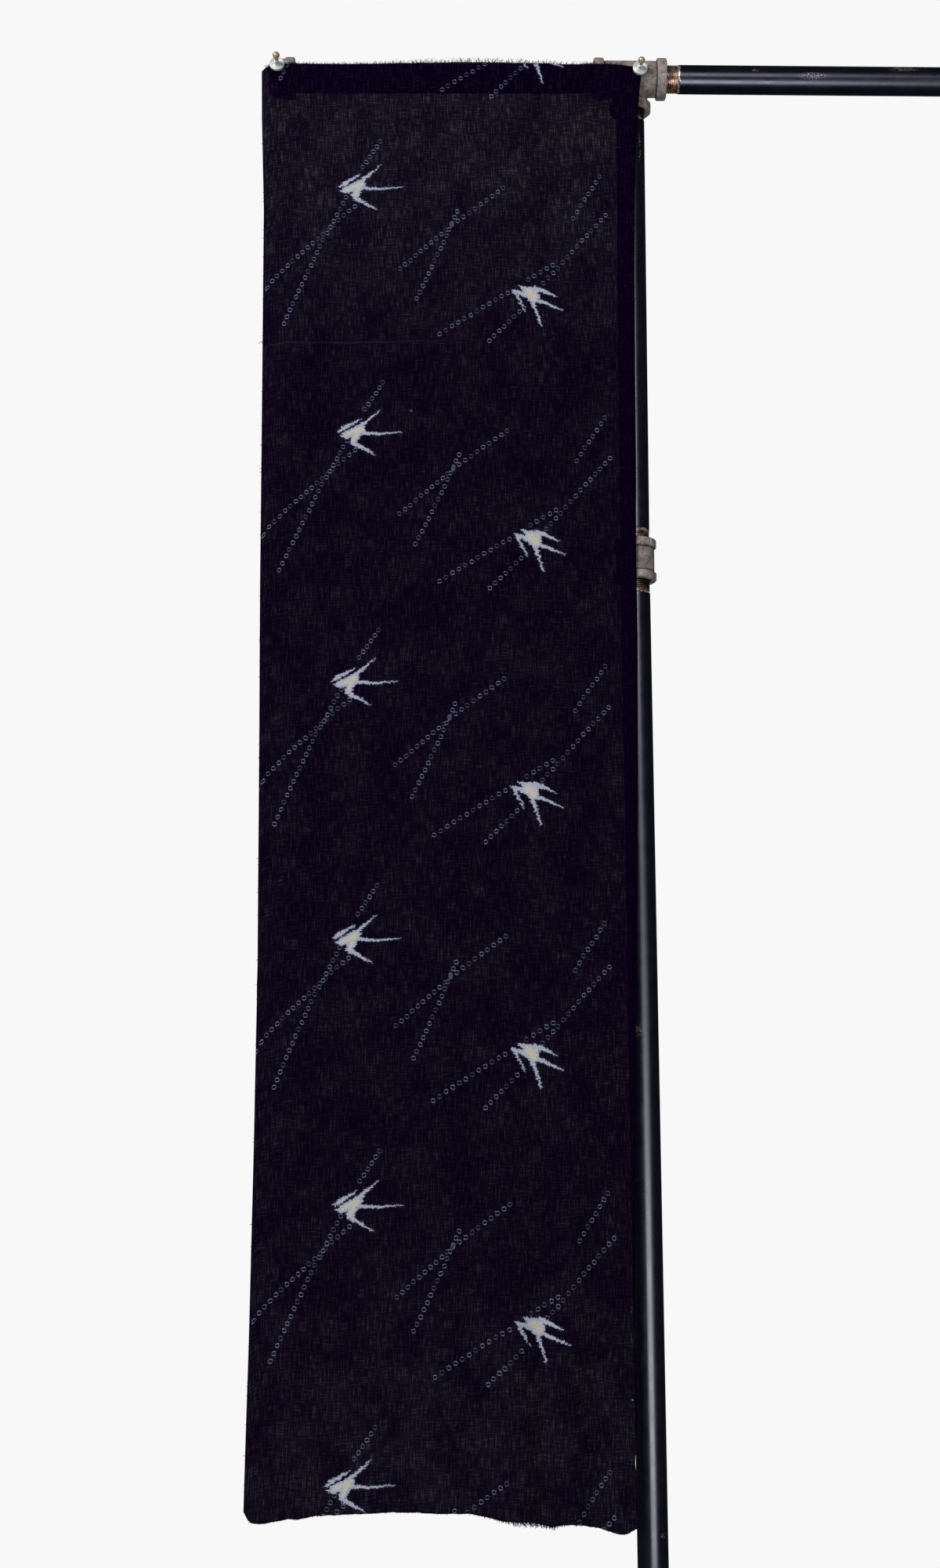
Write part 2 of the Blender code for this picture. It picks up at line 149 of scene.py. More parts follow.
def fill_group(tree, group, inputs):
    return put(tree, "ShaderNodeGroup", inputs, node_tree=group).outputs


FLOAT, VECTOR, COLOUR = "NodeSocketFloat", "NodeSocketVector", "NodeSocketColor"


def new_material(name, **constants):
    """A material with one Principled shader, and its constants set on the shader itself."""
    material = bpy.data.materials.new(name)
    material.use_nodes = True
    tree = material.node_tree
    shader = tree.nodes["Principled BSDF"]
    for label, value in constants.items():
        shader.inputs[label.replace("_", " ")].default_value = value
    return material, tree, shader


def place_on_object(tree):
    return put(tree, "ShaderNodeTexCoord").outputs["Object"]


def mottled(name, scale, detail, dark, light, gloss=None, **constants):
    """A plain material whose tone wanders with noise, and its roughness too if gloss is given."""
    material, tree, shader = new_material(name, **constants)
    cloudy = speckle(tree, place_on_object(tree), scale, detail)
    feed(tree, shader.inputs, Base_Color=blend(tree, cloudy, dark, light))
    if gloss:
        feed(tree, shader.inputs, Roughness=ramp(tree, cloudy, 0.3, 0.7, *gloss))
    return material


print("node helpers ready")

# %% [markdown]
# The stand is seen against plain white. Light Path lets the camera see that white while shiny
# iron reflects something darker, as it does in a room whose far side is dim. Large soft lamps
# round the camera draw the long stripes on the pipes. Light linking keeps each of them to the
# pipes that it is for, and a ceiling lamp to the floor. One key lamp from the left, with a
# weak fill, shapes everything else.

# %% Room and lamps
def make_room():
    world = bpy.data.worlds.new("studio")
    world.use_nodes = True
    tree = world.node_tree
    tree.nodes.clear()
    path = put(tree, "ShaderNodeLightPath").outputs
    ambient = put(tree, "ShaderNodeBackground", {0: (0.97, 0.98, 1.0, 1.0), 1: 0.27})
    mirrored = put(tree, "ShaderNodeBackground", {0: (0.85, 0.88, 1.0, 1.0), 1: 0.03})
    wall = put(tree, "ShaderNodeBackground", {0: (0.939, 0.939, 0.939, 1.0), 1: 1.0})
    shine = put(tree, "ShaderNodeMixShader", {0: path["Is Glossy Ray"], 1: ambient.outputs[0],
                                              2: mirrored.outputs[0]})
    seen = put(tree, "ShaderNodeMixShader", {0: path["Is Camera Ray"], 1: shine.outputs[0],
                                             2: wall.outputs[0]})
    put(tree, "ShaderNodeOutputWorld", {0: seen.outputs[0]})
    bpy.context.scene.world = world


def soft_lamp(name, place, aim, width, height, radiance, tint):
    data = bpy.data.lights.new(name, "AREA")
    data.shape = "RECTANGLE"
    data.size = width
    data.size_y = height
    data.energy = radiance * math.pi * width * height
    data.color = tint
    lamp = put_in_scene(name, data)
    lamp.location = place
    lamp.rotation_euler = (Vector(aim) - Vector(place)).to_track_quat("-Z", "Y").to_euler()
    lamp.visible_camera = False
    print(name, round(data.energy), "W")
    return lamp


WARM = (1.0, 0.99, 0.98)
PALE = (0.97, 0.98, 1.0)
BLUISH = (0.86, 0.88, 1.0)
COOL = (0.78, 0.76, 1.0)
make_room()
soft_lamp("key_lamp", (-2.20, -2.70, 3.00), (0.0, 0.0, 1.5), 1.5, 1.5, 14.4, WARM)
soft_lamp("fill_lamp", (1.60, -3.20, 1.00), (0.0, 0.0, 1.3), 1.2, 1.2, 1.5, PALE)
ceiling_lamp = soft_lamp("ceiling_lamp", (0.20, 0.50, 4.30), (0.0, 0.0, 0.0), 2.6, 2.6, 3.2, PALE)
post_lamps = [
    soft_lamp("high_lamp", (0.30, -3.50, 2.95), (0.0, 0.0, 1.7), 1.5, 1.2, 11.0, BLUISH),
    soft_lamp("tall_lamp", (0.22, -3.50, 1.60), (0.0, 0.0, 1.3), 1.6, 1.5, 1.7, BLUISH),
    soft_lamp("low_lamp", (0.30, -3.50, 0.40), (0.0, 0.0, 0.9), 2.2, 1.0, 12.5, BLUISH),
]
bar_lamps = [
    soft_lamp("over_bar_lamp", (0.15, -3.40, 2.92), (0.1, 0.0, BAR_Z), 1.2, 1.4, 7.3, COOL),
    soft_lamp("under_bar_lamp", (0.10, -1.60, 0.58), (0.1, 0.0, BAR_Z), 0.9, 0.9, 14.0, COOL),
]

# %% [markdown]
# The floor is a plain pale disc under the stand. It isn't part of the object, and a faint mottle
# keeps it from looking like paper.

# %% Floor
def make_floor():
    bm = bmesh.new()
    bmesh.ops.create_circle(bm, cap_ends=True, radius=2.4, segments=96)
    mesh = bpy.data.meshes.new("floor")
    bm.to_mesh(mesh)
    bm.free()
    floor = put_in_scene("floor", mesh)
    floor.location = (0.0, 0.0, -0.0005)
    mesh.materials.append(mottled("pale floor", 1.7, 3.0, (0.80, 0.80, 0.79, 1.0),
                                  (0.86, 0.86, 0.855, 1.0), Roughness=0.85))
    floor.visible_glossy = False
    print("floor:", len(mesh.vertices), "corners round its edge")
    return floor


floor = make_floor()

# %% [markdown]
# Most of the ironwork is round, so most pieces are turned: an outline of radii and heights is
# spun once round the Z axis and then laid where the piece belongs. Every finished piece keeps
# its object at the origin, with its place in its mesh, as the frame's own nodes do.

# %% Helpers for turned pieces
def turn(bm, outline, place, sides):
    """Spin (radius, height) pairs into a skin of revolution, and lay it by place."""
    before = set(bm.verts)
    ring = [bm.verts.new((radius, 0.0, height)) for radius, height in outline]
    lines = [bm.edges.new(pair) for pair in zip(ring, ring[1:])]
    bmesh.ops.spin(bm, geom=ring + lines, cent=(0.0, 0.0, 0.0), axis=(0.0, 0.0, 1.0),
                   angle=math.tau, steps=sides, use_merge=True)
    fresh = [vert for vert in bm.verts if vert not in before]
    bmesh.ops.remove_doubles(bm, verts=fresh, dist=0.000002)
    fresh = [vert for vert in bm.verts if vert not in before]
    bmesh.ops.transform(bm, matrix=place, verts=fresh)
    return fresh


def into_mesh(bm, name, crease_degrees=32.0):
    bmesh.ops.recalc_face_normals(bm, faces=bm.faces)
    mesh = bpy.data.meshes.new(name)
    bm.to_mesh(mesh)
    bm.free()
    mesh.shade_smooth()
    mesh.set_sharp_from_angle(angle=math.radians(crease_degrees))
    return mesh


def turned(name, outline, place, sides=72, crease_degrees=32.0):
    bm = bmesh.new()
    turn(bm, outline, place, sides)
    return into_mesh(bm, name, crease_degrees)


def hand_over(mesh, material, slot, *nodes):
    """Make the mesh a piece that rides on the stand, and stands for the nodes that are named."""
    piece = put_in_scene(mesh.name, mesh)
    mesh.materials.clear()
    mesh.materials.append(material)
    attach(piece, "root")
    if nodes:
        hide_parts(*nodes)
    print(piece.name, len(mesh.polygons), "faces", *nodes)
    return piece


print("helpers for turned pieces ready")

# %% [markdown]
# The cloth is one loom width, cut to length and pinned by its top corners. It hangs just in front
# of the pipes, nearly flat, a little narrower below the middle, and wavy along its cut end. A
# simulation would lose the outline that can be measured, so the sheet is laid out one point at a
# time: four tables give its edges, and folds are added as soft troughs and ridges.

# %% Edges of the cloth
# x from the post's axis and z from the crossbar's axis, in metres
TOP_EDGE = (
    (-0.3458, -0.0055), (-0.3396, 0.0007), (-0.3200, 0.0032), (-0.2610, 0.0027),
    (-0.2000, 0.0050), (-0.1600, 0.0063), (-0.0780, 0.0055), (-0.0640, 0.0043),
    (-0.0500, 0.0046), (-0.0400, 0.0056), (-0.0230, 0.0053), (0.0095, 0.0040),
)
HEM = (
    (-0.3431, -1.3004), (-0.3379, -1.3092), (-0.3258, -1.3101), (-0.3050, -1.3060),
    (-0.2960, -1.3060), (-0.2830, -1.3037), (-0.2350, -1.3021), (-0.2060, -1.3010),
    (-0.1500, -1.3022), (-0.1380, -1.3050), (-0.1237, -1.3082), (-0.1076, -1.3084),
    (-0.0969, -1.3097), (-0.0863, -1.3131), (-0.0809, -1.3141), (-0.0756, -1.3120),
    (-0.0649, -1.3101), (-0.0542, -1.3121), (-0.0435, -1.3147), (-0.0328, -1.3176),
    (-0.0221, -1.3204), (-0.0168, -1.3198), (-0.0114, -1.3166), (-0.0088, -1.3150),
)
# z and x of the two long edges
LEFT_EDGE = (
    (-1.3000, -0.3431), (-1.2370, -0.3421), (-1.1590, -0.3406), (-1.0000, -0.3388),
    (-0.8370, -0.3378), (-0.6700, -0.3389), (-0.4990, -0.3404), (-0.3230, -0.3411),
    (-0.1420, -0.3420), (-0.0500, -0.3451), (-0.0055, -0.3458),
)
RIGHT_EDGE = (
    (-1.3150, -0.0088), (-1.2860, -0.0093), (-1.2604, -0.0105), (-1.2342, -0.0089),
    (-1.2080, -0.0085), (-1.1720, -0.0090), (-1.1550, -0.0110), (-1.1390, -0.0090),
    (-0.9190, -0.0063), (-0.8150, -0.0045), (-0.7440, -0.0029), (-0.6740, -0.0017),
    (-0.5440, -0.0005), (-0.4560, -0.0010), (-0.3960, -0.0001), (-0.3370, 0.0000),
    (-0.2460, 0.0003), (-0.1850, 0.0007), (-0.1240, 0.0017), (-0.0770, 0.0033),
    (-0.0400, 0.0057), (-0.0200, 0.0073), (-0.0060, 0.0093), (0.0040, 0.0095),
)


def along(table, position):
    if position <= table[0][0]:
        return table[0][1]
    for (start, low), (end, high) in zip(table, table[1:]):
        if position <= end:
            return low + (high - low) * (position - start) / (end - start)
    return table[-1][1]


print("cloth edges:", len(TOP_EDGE) + len(HEM) + len(LEFT_EDGE) + len(RIGHT_EDGE), "places")

# %% [markdown]
# The folds are mostly at the lower right, where the cloth is free of the post and its corner
# curls. Each fold is a soft ridge that grows from one height to another. Two pins press the
# top corners back, so the sheet has a shallow dimple round the right one.

# %% Folds of the cloth
# x, drift of x, half width, forward, z where it starts, z where it is full
FOLDS = (
    (-0.300, 0.000, 0.022, 0.0022, -0.30, -0.95),
    (-0.232, 0.010, 0.026, -0.0016, -0.45, -1.10),
    (-0.168, -0.006, 0.024, 0.0026, -0.55, -1.25),
    (-0.122, 0.010, 0.015, 0.0072, -0.95, -1.29),
    (-0.092, 0.006, 0.011, -0.0046, -1.00, -1.29),
    (-0.062, -0.004, 0.012, 0.0078, -0.85, -1.28),
    (-0.036, -0.004, 0.010, -0.0040, -0.80, -1.25),
    (-0.012, -0.004, 0.008, -0.0044, -0.70, -1.20),
)
# x, z, half length, half height, forward, slope
CREASES = (
    (-0.030, -1.156, 0.030, 0.009, 0.0052, 0.10),
    (-0.034, -1.179, 0.024, 0.008, -0.0026, 0.10),
    (-0.334, -0.856, 0.012, 0.007, 0.0024, 0.05),
    (-0.248, -0.933, 0.026, 0.008, 0.0016, -0.30),
    (-0.040, -1.266, 0.040, 0.014, 0.0030, -0.15),
)
# the iron that the cloth lies against
BAND_R = 0.0194
TEE_BODY_R = 0.0168
TEE_REACH = 0.0340
LEFT_SAG = math.radians(0.42)
HANG_R = BAND_R + 0.0010
TEE_TOUCH_R = TEE_BODY_R + 0.0008
RIGHT_PIN = (0.0083, 0.00141)


def smooth_step(start, end, value):
    share = min(max((value - start) / (end - start), 0.0), 1.0)
    return share * share * (3.0 - 2.0 * share)


def fold_depth(x, z):
    depth = 0.0
    for centre, drift, half_width, forward, z_from, z_full in FOLDS:
        share = smooth_step(-z_from, -z_full, -z)
        depth += forward * share * math.exp(-(((x - centre - drift * share) / half_width) ** 2))
    for centre, height, half_length, half_height, forward, slope in CREASES:
        sideways = (x - centre) / half_length
        upright = (z - height - slope * (x - centre)) / half_height
        depth += forward * math.exp(-sideways * sideways - upright * upright)
    return depth


def slack(x, z):
    """The loose weave never hangs quite flat: shallow waves that only come forward."""
    wave = noise.noise(Vector((x * 34.0, 3.1, z * 9.0))) + 0.6 * noise.noise(
        Vector((x * 90.0, 7.7, z * 60.0)))
    return 0.00045 * (1.0 + wave) * smooth_step(0.01, 0.12, -z)


def ragged_cut(x):
    """Scissors leave a cut edge that wanders by half a millimetre."""
    return 0.0005 * noise.noise(Vector((x * 150.0, 0.4, 0.0))) + 0.0004 * noise.noise(
        Vector((x * 420.0, 5.2, 0.0)))


def bar_axis_z(x):
    return -max(0.0, -x - TEE_REACH + 0.00625) * math.tan(LEFT_SAG)


def cloth_point(across, down):
    """The sheet's middle surface, from its shares across and down, in the frame's metres."""
    top_x = TOP_EDGE[0][0] + (TOP_EDGE[-1][0] - TOP_EDGE[0][0]) * across
    hem_x = HEM[0][0] + (HEM[-1][0] - HEM[0][0]) * across
    top_z, hem_z = along(TOP_EDGE, top_x) + ragged_cut(top_x), along(HEM, hem_x) + ragged_cut(hem_x)
    z = top_z + (hem_z - top_z) * down
    left, right = along(LEFT_EDGE, z), along(RIGHT_EDGE, z)
    x = left + (right - left) * across
    lift = max(0.0, z - bar_axis_z(x))
    y = -math.sqrt(HANG_R * HANG_R - lift * lift)
    away = math.hypot(x - RIGHT_PIN[0], z - RIGHT_PIN[1])
    y += (HANG_R - TEE_TOUCH_R) * (1.0 - smooth_step(0.009, 0.026, away))
    y -= fold_depth(x, z) + slack(x, z)
    return Vector((x + COLUMN_X, y, z + BAR_Z)), (x - left, top_z - z)


print("the hem's middle lies at", [round(v, 4) for v in cloth_point(0.5, 1.0)[0]])

# %% [markdown]
# The pattern belongs to the threads, so it follows the cloth's own measure: a UV map whose
# units are metres from the left selvedge and from the cut top edge. The sheet starts as a
# bmesh grid; each corner is moved to its place on the hanging cloth, and a Solidify modifier
# gives it the half millimetre that a thin cotton has.

# %% Sheet of cloth
CLOTH_THICK = 0.0005
COLUMNS, ROWS = 88, 318


def make_sheet():
    bm = bmesh.new()
    measure = bm.loops.layers.uv.new("cloth_metres")
    bmesh.ops.create_grid(bm, x_segments=COLUMNS, y_segments=ROWS, size=0.5)
    flat = {}
    for vert in bm.verts:
        place, cut = cloth_point(vert.co.x + 0.5, 0.5 - vert.co.y)
        flat[vert] = cut
        vert.co = place
    for face in bm.faces:
        for loop in face.loops:
            loop[measure].uv = flat[loop.vert]
    if sum(face.normal.y for face in bm.faces) > 0.0:
        bmesh.ops.reverse_faces(bm, faces=bm.faces)
    mesh = bpy.data.meshes.new("indigo_cloth")
    bm.to_mesh(mesh)
    bm.free()
    mesh.shade_smooth()
    print("sheet:", len(mesh.polygons), "faces")
    return mesh


cloth_mesh = make_sheet()

# %% [markdown]
# Threads come first. A hand-spun yarn is thick and thin along its length, so its light and
# dark streaks are long one way and narrow the other. One group makes both directions from
# stretched noise, in millimetres. It also gives broad patches and the height of the weave.

# %% Node group: threads
def make_threads_group():
    tree, takes, gives = new_group(
        "uneven threads",
        [("Place", VECTOR, None)],
        [("Warp", FLOAT), ("Weft", FLOAT), ("Patch", FLOAT), ("Height", FLOAT)],
    )
    place = takes["Place"]
    warp = speckle(tree, vector_maths(tree, "MULTIPLY", place, (0.95, 0.070, 0.0)), 1.0, 3.0, 0.60)
    weft = speckle(tree, vector_maths(tree, "MULTIPLY", place, (0.080, 1.00, 0.0)), 1.0, 3.0, 0.60)
    patch = speckle(tree, vector_maths(tree, "MULTIPLY", place, (0.030, 0.022, 0.0)), 1.0, 2.0)
    parts = split(tree, place)
    over = maths(tree, "SINE", maths(tree, "MULTIPLY", parts[0], math.pi / 0.55))
    under = maths(tree, "SINE", maths(tree, "MULTIPLY", parts[1], math.pi / 0.60))
    height = maths(tree, "MULTIPLY_ADD", maths(tree, "MULTIPLY", over, under), 0.5, 0.5)
    feed(tree, gives, Warp=warp, Weft=weft, Patch=patch, Height=height)
    return tree


threads_group = make_threads_group()
print("group:", threads_group.name)

# %% [markdown]
# The birds are undyed thread. In this kind of weaving the yarn is bound and dyed before it
# goes on the loom, so each thread lands a little off its mark and the shapes get a feathery
# edge. A bird is a handful of tapering strokes. This group measures how far a place lies
# outside one stroke, and the least of several such distances is the whole bird.

# %% Node group: one tapering stroke
def make_stroke_group():
    tree, takes, gives = new_group(
        "tapering stroke",
        [("Place", VECTOR, None), ("Start", VECTOR, None), ("Run", VECTOR, None),
         ("Start width", FLOAT, 1.0), ("End width", FLOAT, 0.5)],
        [("Outside", FLOAT)],
    )
    offset = vector_maths(tree, "SUBTRACT", takes["Place"], takes["Start"])
    reach = vector_maths(tree, "DOT_PRODUCT", offset, takes["Run"], result="Value")
    whole = vector_maths(tree, "DOT_PRODUCT", takes["Run"], takes["Run"], result="Value")
    share = maths(tree, "DIVIDE", reach, whole, clamp=True)
    scaled = put(tree, "ShaderNodeVectorMath", {0: takes["Run"], "Scale": share},
                 operation="SCALE").outputs[0]
    gap = vector_maths(tree, "DISTANCE", offset, scaled, result="Value")
    span = maths(tree, "SUBTRACT", takes["End width"], takes["Start width"])
    width = maths(tree, "MULTIPLY_ADD", span, share, takes["Start width"])
    tree.links.new(maths(tree, "SUBTRACT", gap, width), gives["Outside"])
    return tree


stroke_group = make_stroke_group()
print("group:", stroke_group.name)

# %% [markdown]
# The rings run in lines between the birds. One group draws a whole line of them: it rounds
# the place to the nearest ring and measures from there. Their tops and bottoms lie along the
# weft and show bright, while their sides nearly vanish.

# %% Node group: a line of rings
RING_R = 1.70
RING_HALF = 0.42
RING_STRAY = 0.4


def make_rings_group():
    tree, takes, gives = new_group(
        "line of rings",
        [("Place", VECTOR, None), ("Start", VECTOR, None), ("Step", VECTOR, None),
         ("Last", FLOAT, 5.0)],
        [("Ring", FLOAT)],
    )
    offset = vector_maths(tree, "SUBTRACT", takes["Place"], takes["Start"])
    reach = vector_maths(tree, "DOT_PRODUCT", offset, takes["Step"], result="Value")
    whole = vector_maths(tree, "DOT_PRODUCT", takes["Step"], takes["Step"], result="Value")
    nearest = maths(tree, "ROUND", maths(tree, "DIVIDE", reach, whole))
    nearest = maths(tree, "MAXIMUM", maths(tree, "MINIMUM", nearest, takes["Last"]), 0.0)
    centre = put(tree, "ShaderNodeVectorMath", {0: takes["Step"], "Scale": nearest},
                 operation="SCALE").outputs[0]
    chance = put(tree, "ShaderNodeTexWhiteNoise",
                 {0: vector_maths(tree, "ADD", centre, takes["Start"])}).outputs
    stray = vector_maths(tree, "SUBTRACT", chance["Color"], (0.5, 0.5, 0.5))
    stray = vector_maths(tree, "MULTIPLY", stray, (RING_STRAY, RING_STRAY, 0.0))
    arm = vector_maths(tree, "SUBTRACT", vector_maths(tree, "SUBTRACT", offset, centre), stray)
    radius = vector_maths(tree, "LENGTH", arm, result="Value")
    off_line = maths(tree, "ABSOLUTE", maths(tree, "SUBTRACT", radius, RING_R))
    mask = ramp(tree, off_line, 0.05, RING_HALF, 1.0, 0.0)
    rise = split(tree, arm)[1]
    slope = maths(tree, "DIVIDE", rise, maths(tree, "MAXIMUM", radius, 0.1))
    slope = maths(tree, "ABSOLUTE", slope)
    bright = maths(tree, "MULTIPLY", ramp(tree, slope, 0.30, 0.90, 0.22, 1.0),
                   ramp(tree, chance["Value"], 0.0, 1.0, 0.40, 1.25))
    tree.links.new(maths(tree, "MULTIPLY", mask, bright), gives["Ring"])
    return tree


rings_group = make_rings_group()
print("group:", rings_group.name)

# %% [markdown]
# The chart. All lengths are millimetres on the flat cloth: x from the left selvedge, y down from
# the top edge, within one repeat. It was drawn as a weaver would, with each bird about its own
# middle.

# %% Chart of the repeat
REPEAT = 232.3
REPEAT_START = 70.0

# x, y, run x, run y, start width, end width
BIRD_LEFTWARD = (
    (-13.2, 0.2, 5.5, -4.0, 0.9, 2.0), (-7.5, -4.2, 13.6, -7.2, 1.9, 0.4),
    (-6.6, 3.0, 13.0, -5.4, 3.4, 4.3), (-12.4, 3.8, 5.0, 0.4, 0.4, 2.4),
    (4.0, 0.4, -3.2, 8.6, 4.0, 3.3), (1.2, 11.4, 19.4, 11.2, 2.1, 0.3),
    (7.0, -5.2, 17.6, -15.0, 1.8, 0.3), (8.0, 1.2, 16.5, 1.6, 1.6, 1.0),
    (24.5, 2.8, 20.5, -1.0, 1.0, 0.3),
)
BIRD_UPWARD = (
    (-1.8, -3.8, 4.6, 5.6, 5.6, 5.0), (-10.6, -9.6, 7.0, 3.2, 0.6, 2.8),
    (-16.2, -5.4, 12.4, 4.6, 1.2, 2.5), (-15.0, -4.4, 10.0, 19.0, 1.5, 0.3),
    (1.6, 4.4, 7.8, 24.0, 1.8, 0.6), (4.8, 3.2, 24.4, 8.8, 1.9, 0.4),
    (3.6, -8.0, 9.2, 3.2, 2.1, 1.7), (12.6, -5.0, 11.0, 4.6, 1.6, 0.3),
    (4.2, -5.0, 0.8, 6.4, 3.2, 3.0),
)
LEFT_BIRD_AT = (84.0, 120.7)
RIGHT_BIRD_AT = (246.2, 229.0)

# x, y of the first ring, x, y of the last, number of rings
RINGS_BY_LEFT_BIRD = (
    (109.5, 77.5, 92.5, 102.5, 6), (76.5, 131.5, 58.5, 166.5, 7), (54.5, 173.0, 18.5, 253.0, 14),
    (84.0, 141.0, 69.0, 153.5, 4), (64.0, 159.0, 3.0, 215.5, 14),
    (222.5, 124.5, 179.0, 157.0, 9), (173.5, 161.0, 125.5, 202.0, 11),
    (178.5, 147.5, 168.5, 171.0, 5), (166.0, 177.0, 140.5, 231.0, 10),
)
RINGS_BY_RIGHT_BIRD = (
    (312.5, 111.5, 286.5, 152.0, 8), (316.5, 149.5, 276.0, 195.0, 10),
    (271.5, 200.5, 258.0, 216.0, 4), (235.5, 244.0, 207.5, 272.5, 7),
    (267.0, 198.0, 244.0, 213.0, 5), (225.0, 226.0, 162.0, 265.5, 12),
)
# How far each row has crept from an even repeat: y down the cloth, shift across, shift down
BIRD_CREEP_LEFT = ((0, 0.0, 0.0), (121, 0.0, 0.7), (356, -0.6, 3.4), (587, -5.2, 2.0),
                   (818, -4.0, 0.0), (1051, 0.0, -1.6), (1320, -2.0, 0.0))
BIRD_CREEP_RIGHT = ((0, 6.5, -5.5), (45, 6.5, -5.5), (75, 0.0, 0.0), (227, 0.0, 0.0),
                    (460, 0.0, -1.2), (690, -5.2, -3.0), (922, -6.4, -3.8), (1157, -0.6, -3.0),
                    (1320, -0.6, -3.0))
RING_CREEP_LEFT = ((0, -1.0, -6.5), (45, -1.0, -6.5), (75, 0.0, 0.0), (121, 0.0, 0.0),
                   (356, 1.0, 0.8), (587, -3.6, -1.0), (818, -4.4, -2.8), (1051, 0.0, -3.4),
                   (1320, 0.0, -3.4))
RING_CREEP_RIGHT = ((0, 6.2, -5.7), (45, 6.2, -5.7), (75, 0.0, 0.0), (227, 0.0, 0.0),
                    (460, 0.1, 0.5), (690, -6.0, -1.6), (922, -7.4, -1.2), (1157, -2.2, 0.4),
                    (1320, -2.2, 0.4))
rings_charted = sum(line[4] for line in RINGS_BY_LEFT_BIRD + RINGS_BY_RIGHT_BIRD)
print("chart:", len(BIRD_LEFTWARD) + len(BIRD_UPWARD), "strokes and", rings_charted, "rings")

# %% [markdown]
# The pattern group puts the chart together. It wraps the place down the cloth into one
# repeat, after moving it by that row's creep, which Float Curves hold. Birds and rings are
# tied on different threads, so each has its own. Then it takes the least distance of the
# strokes and the brightest of the rings.

# %% Node group: the pattern
CREEP_SCALE = 20.0
CLOTH_LONG = 1320.0


def creep_curve(tree, down, creep, column):
    curve = put(tree, "ShaderNodeFloatCurve", {1: maths(tree, "DIVIDE", down, CLOTH_LONG)})
    points = curve.mapping.curves[0].points
    while len(points) < len(creep):
        points.new(0.5, 0.5)
    for point, row in zip(points, creep):
        point.location = (row[0] / CLOTH_LONG, 0.5 + row[column] / CREEP_SCALE)
    curve.mapping.update()
    return maths(tree, "MULTIPLY", maths(tree, "SUBTRACT", curve.outputs[0], 0.5), CREEP_SCALE)


def within_repeat(tree, place, creep):
    parts = split(tree, place)
    x = maths(tree, "SUBTRACT", parts[0], creep_curve(tree, parts[1], creep, 1))
    y = maths(tree, "SUBTRACT", parts[1], creep_curve(tree, parts[1], creep, 2))
    y = maths(tree, "WRAP", y, REPEAT_START + REPEAT, REPEAT_START)
    return put(tree, "ShaderNodeCombineXYZ", {0: x, 1: y}).outputs[0]


def bird(tree, place, strokes, middle):
    least = None
    for x, y, run_x, run_y, start_width, end_width in strokes:
        start = (middle[0] + x, middle[1] + y, 0.0)
        inputs = {"Place": place, "Start": start, "Run": (run_x, run_y, 0.0),
                  "Start width": start_width, "End width": end_width}
        outside = fill_group(tree, stroke_group, inputs)[0]
        least = outside if least is None else maths(tree, "MINIMUM", least, outside)
    return least


def ring_lines(tree, place, lines):
    brightest = None
    for x, y, last_x, last_y, count in lines:
        step = ((last_x - x) / (count - 1), (last_y - y) / (count - 1), 0.0)
        inputs = {"Place": place, "Start": (x, y, 0.0), "Step": step, "Last": count - 1.0}
        ring = fill_group(tree, rings_group, inputs)[0]
        brightest = ring if brightest is None else maths(tree, "MAXIMUM", brightest, ring)
    return brightest


def make_pattern_group():
    tree, takes, gives = new_group(
        "birds and rings",
        [("Place", VECTOR, None), ("Ring place", VECTOR, None)],
        [("Outside bird", FLOAT), ("Ring", FLOAT)],
    )
    left = within_repeat(tree, takes["Place"], BIRD_CREEP_LEFT)
    right = within_repeat(tree, takes["Place"], BIRD_CREEP_RIGHT)
    first = bird(tree, left, BIRD_LEFTWARD, LEFT_BIRD_AT)
    second = bird(tree, right, BIRD_UPWARD, RIGHT_BIRD_AT)
    tree.links.new(maths(tree, "MINIMUM", first, second), gives["Outside bird"])
    left = within_repeat(tree, takes["Ring place"], RING_CREEP_LEFT)
    right = within_repeat(tree, takes["Ring place"], RING_CREEP_RIGHT)
    by_left = ring_lines(tree, left, RINGS_BY_LEFT_BIRD)
    by_right = ring_lines(tree, right, RINGS_BY_RIGHT_BIRD)
    tree.links.new(maths(tree, "MAXIMUM", by_left, by_right), gives["Ring"])
    return tree


pattern_group = make_pattern_group()
print("group:", pattern_group.name, "with", len(pattern_group.nodes), "nodes")

# %% [markdown]
# Now the dyed cotton itself. Indigo this deep is nearly black. Its faint streaks are threads
# that took less dye, and the white room seen through the open weave beside them. Light has to
# pass both faces of the sheet, so each face gets the square root of the openness. Each weft
# thread is shifted sideways and each warp thread up or down before the pattern is read, which
# gives the birds feathery edges.

# %% Material: indigo cotton
THREAD = 0.85
DEEP_INDIGO = (0.0025, 0.0003, 0.0075, 1.0)
REDDISH_DYE = (0.0190, 0.0065, 0.0250, 1.0)
GREENISH_DYE = (0.0085, 0.0110, 0.0270, 1.0)
UNDYED = (0.60, 0.565, 0.48, 1.0)
BLUISH_THREAD = (0.42, 0.455, 0.58, 1.0)
RING_TONE = (0.190, 0.235, 0.370, 1.0)
SLUBS = ((136.0, 338.0), (329.5, 1213.6))
SLUB_R = 0.45
DYE_BLEED = (0.018, 0.020, 0.045, 1.0)


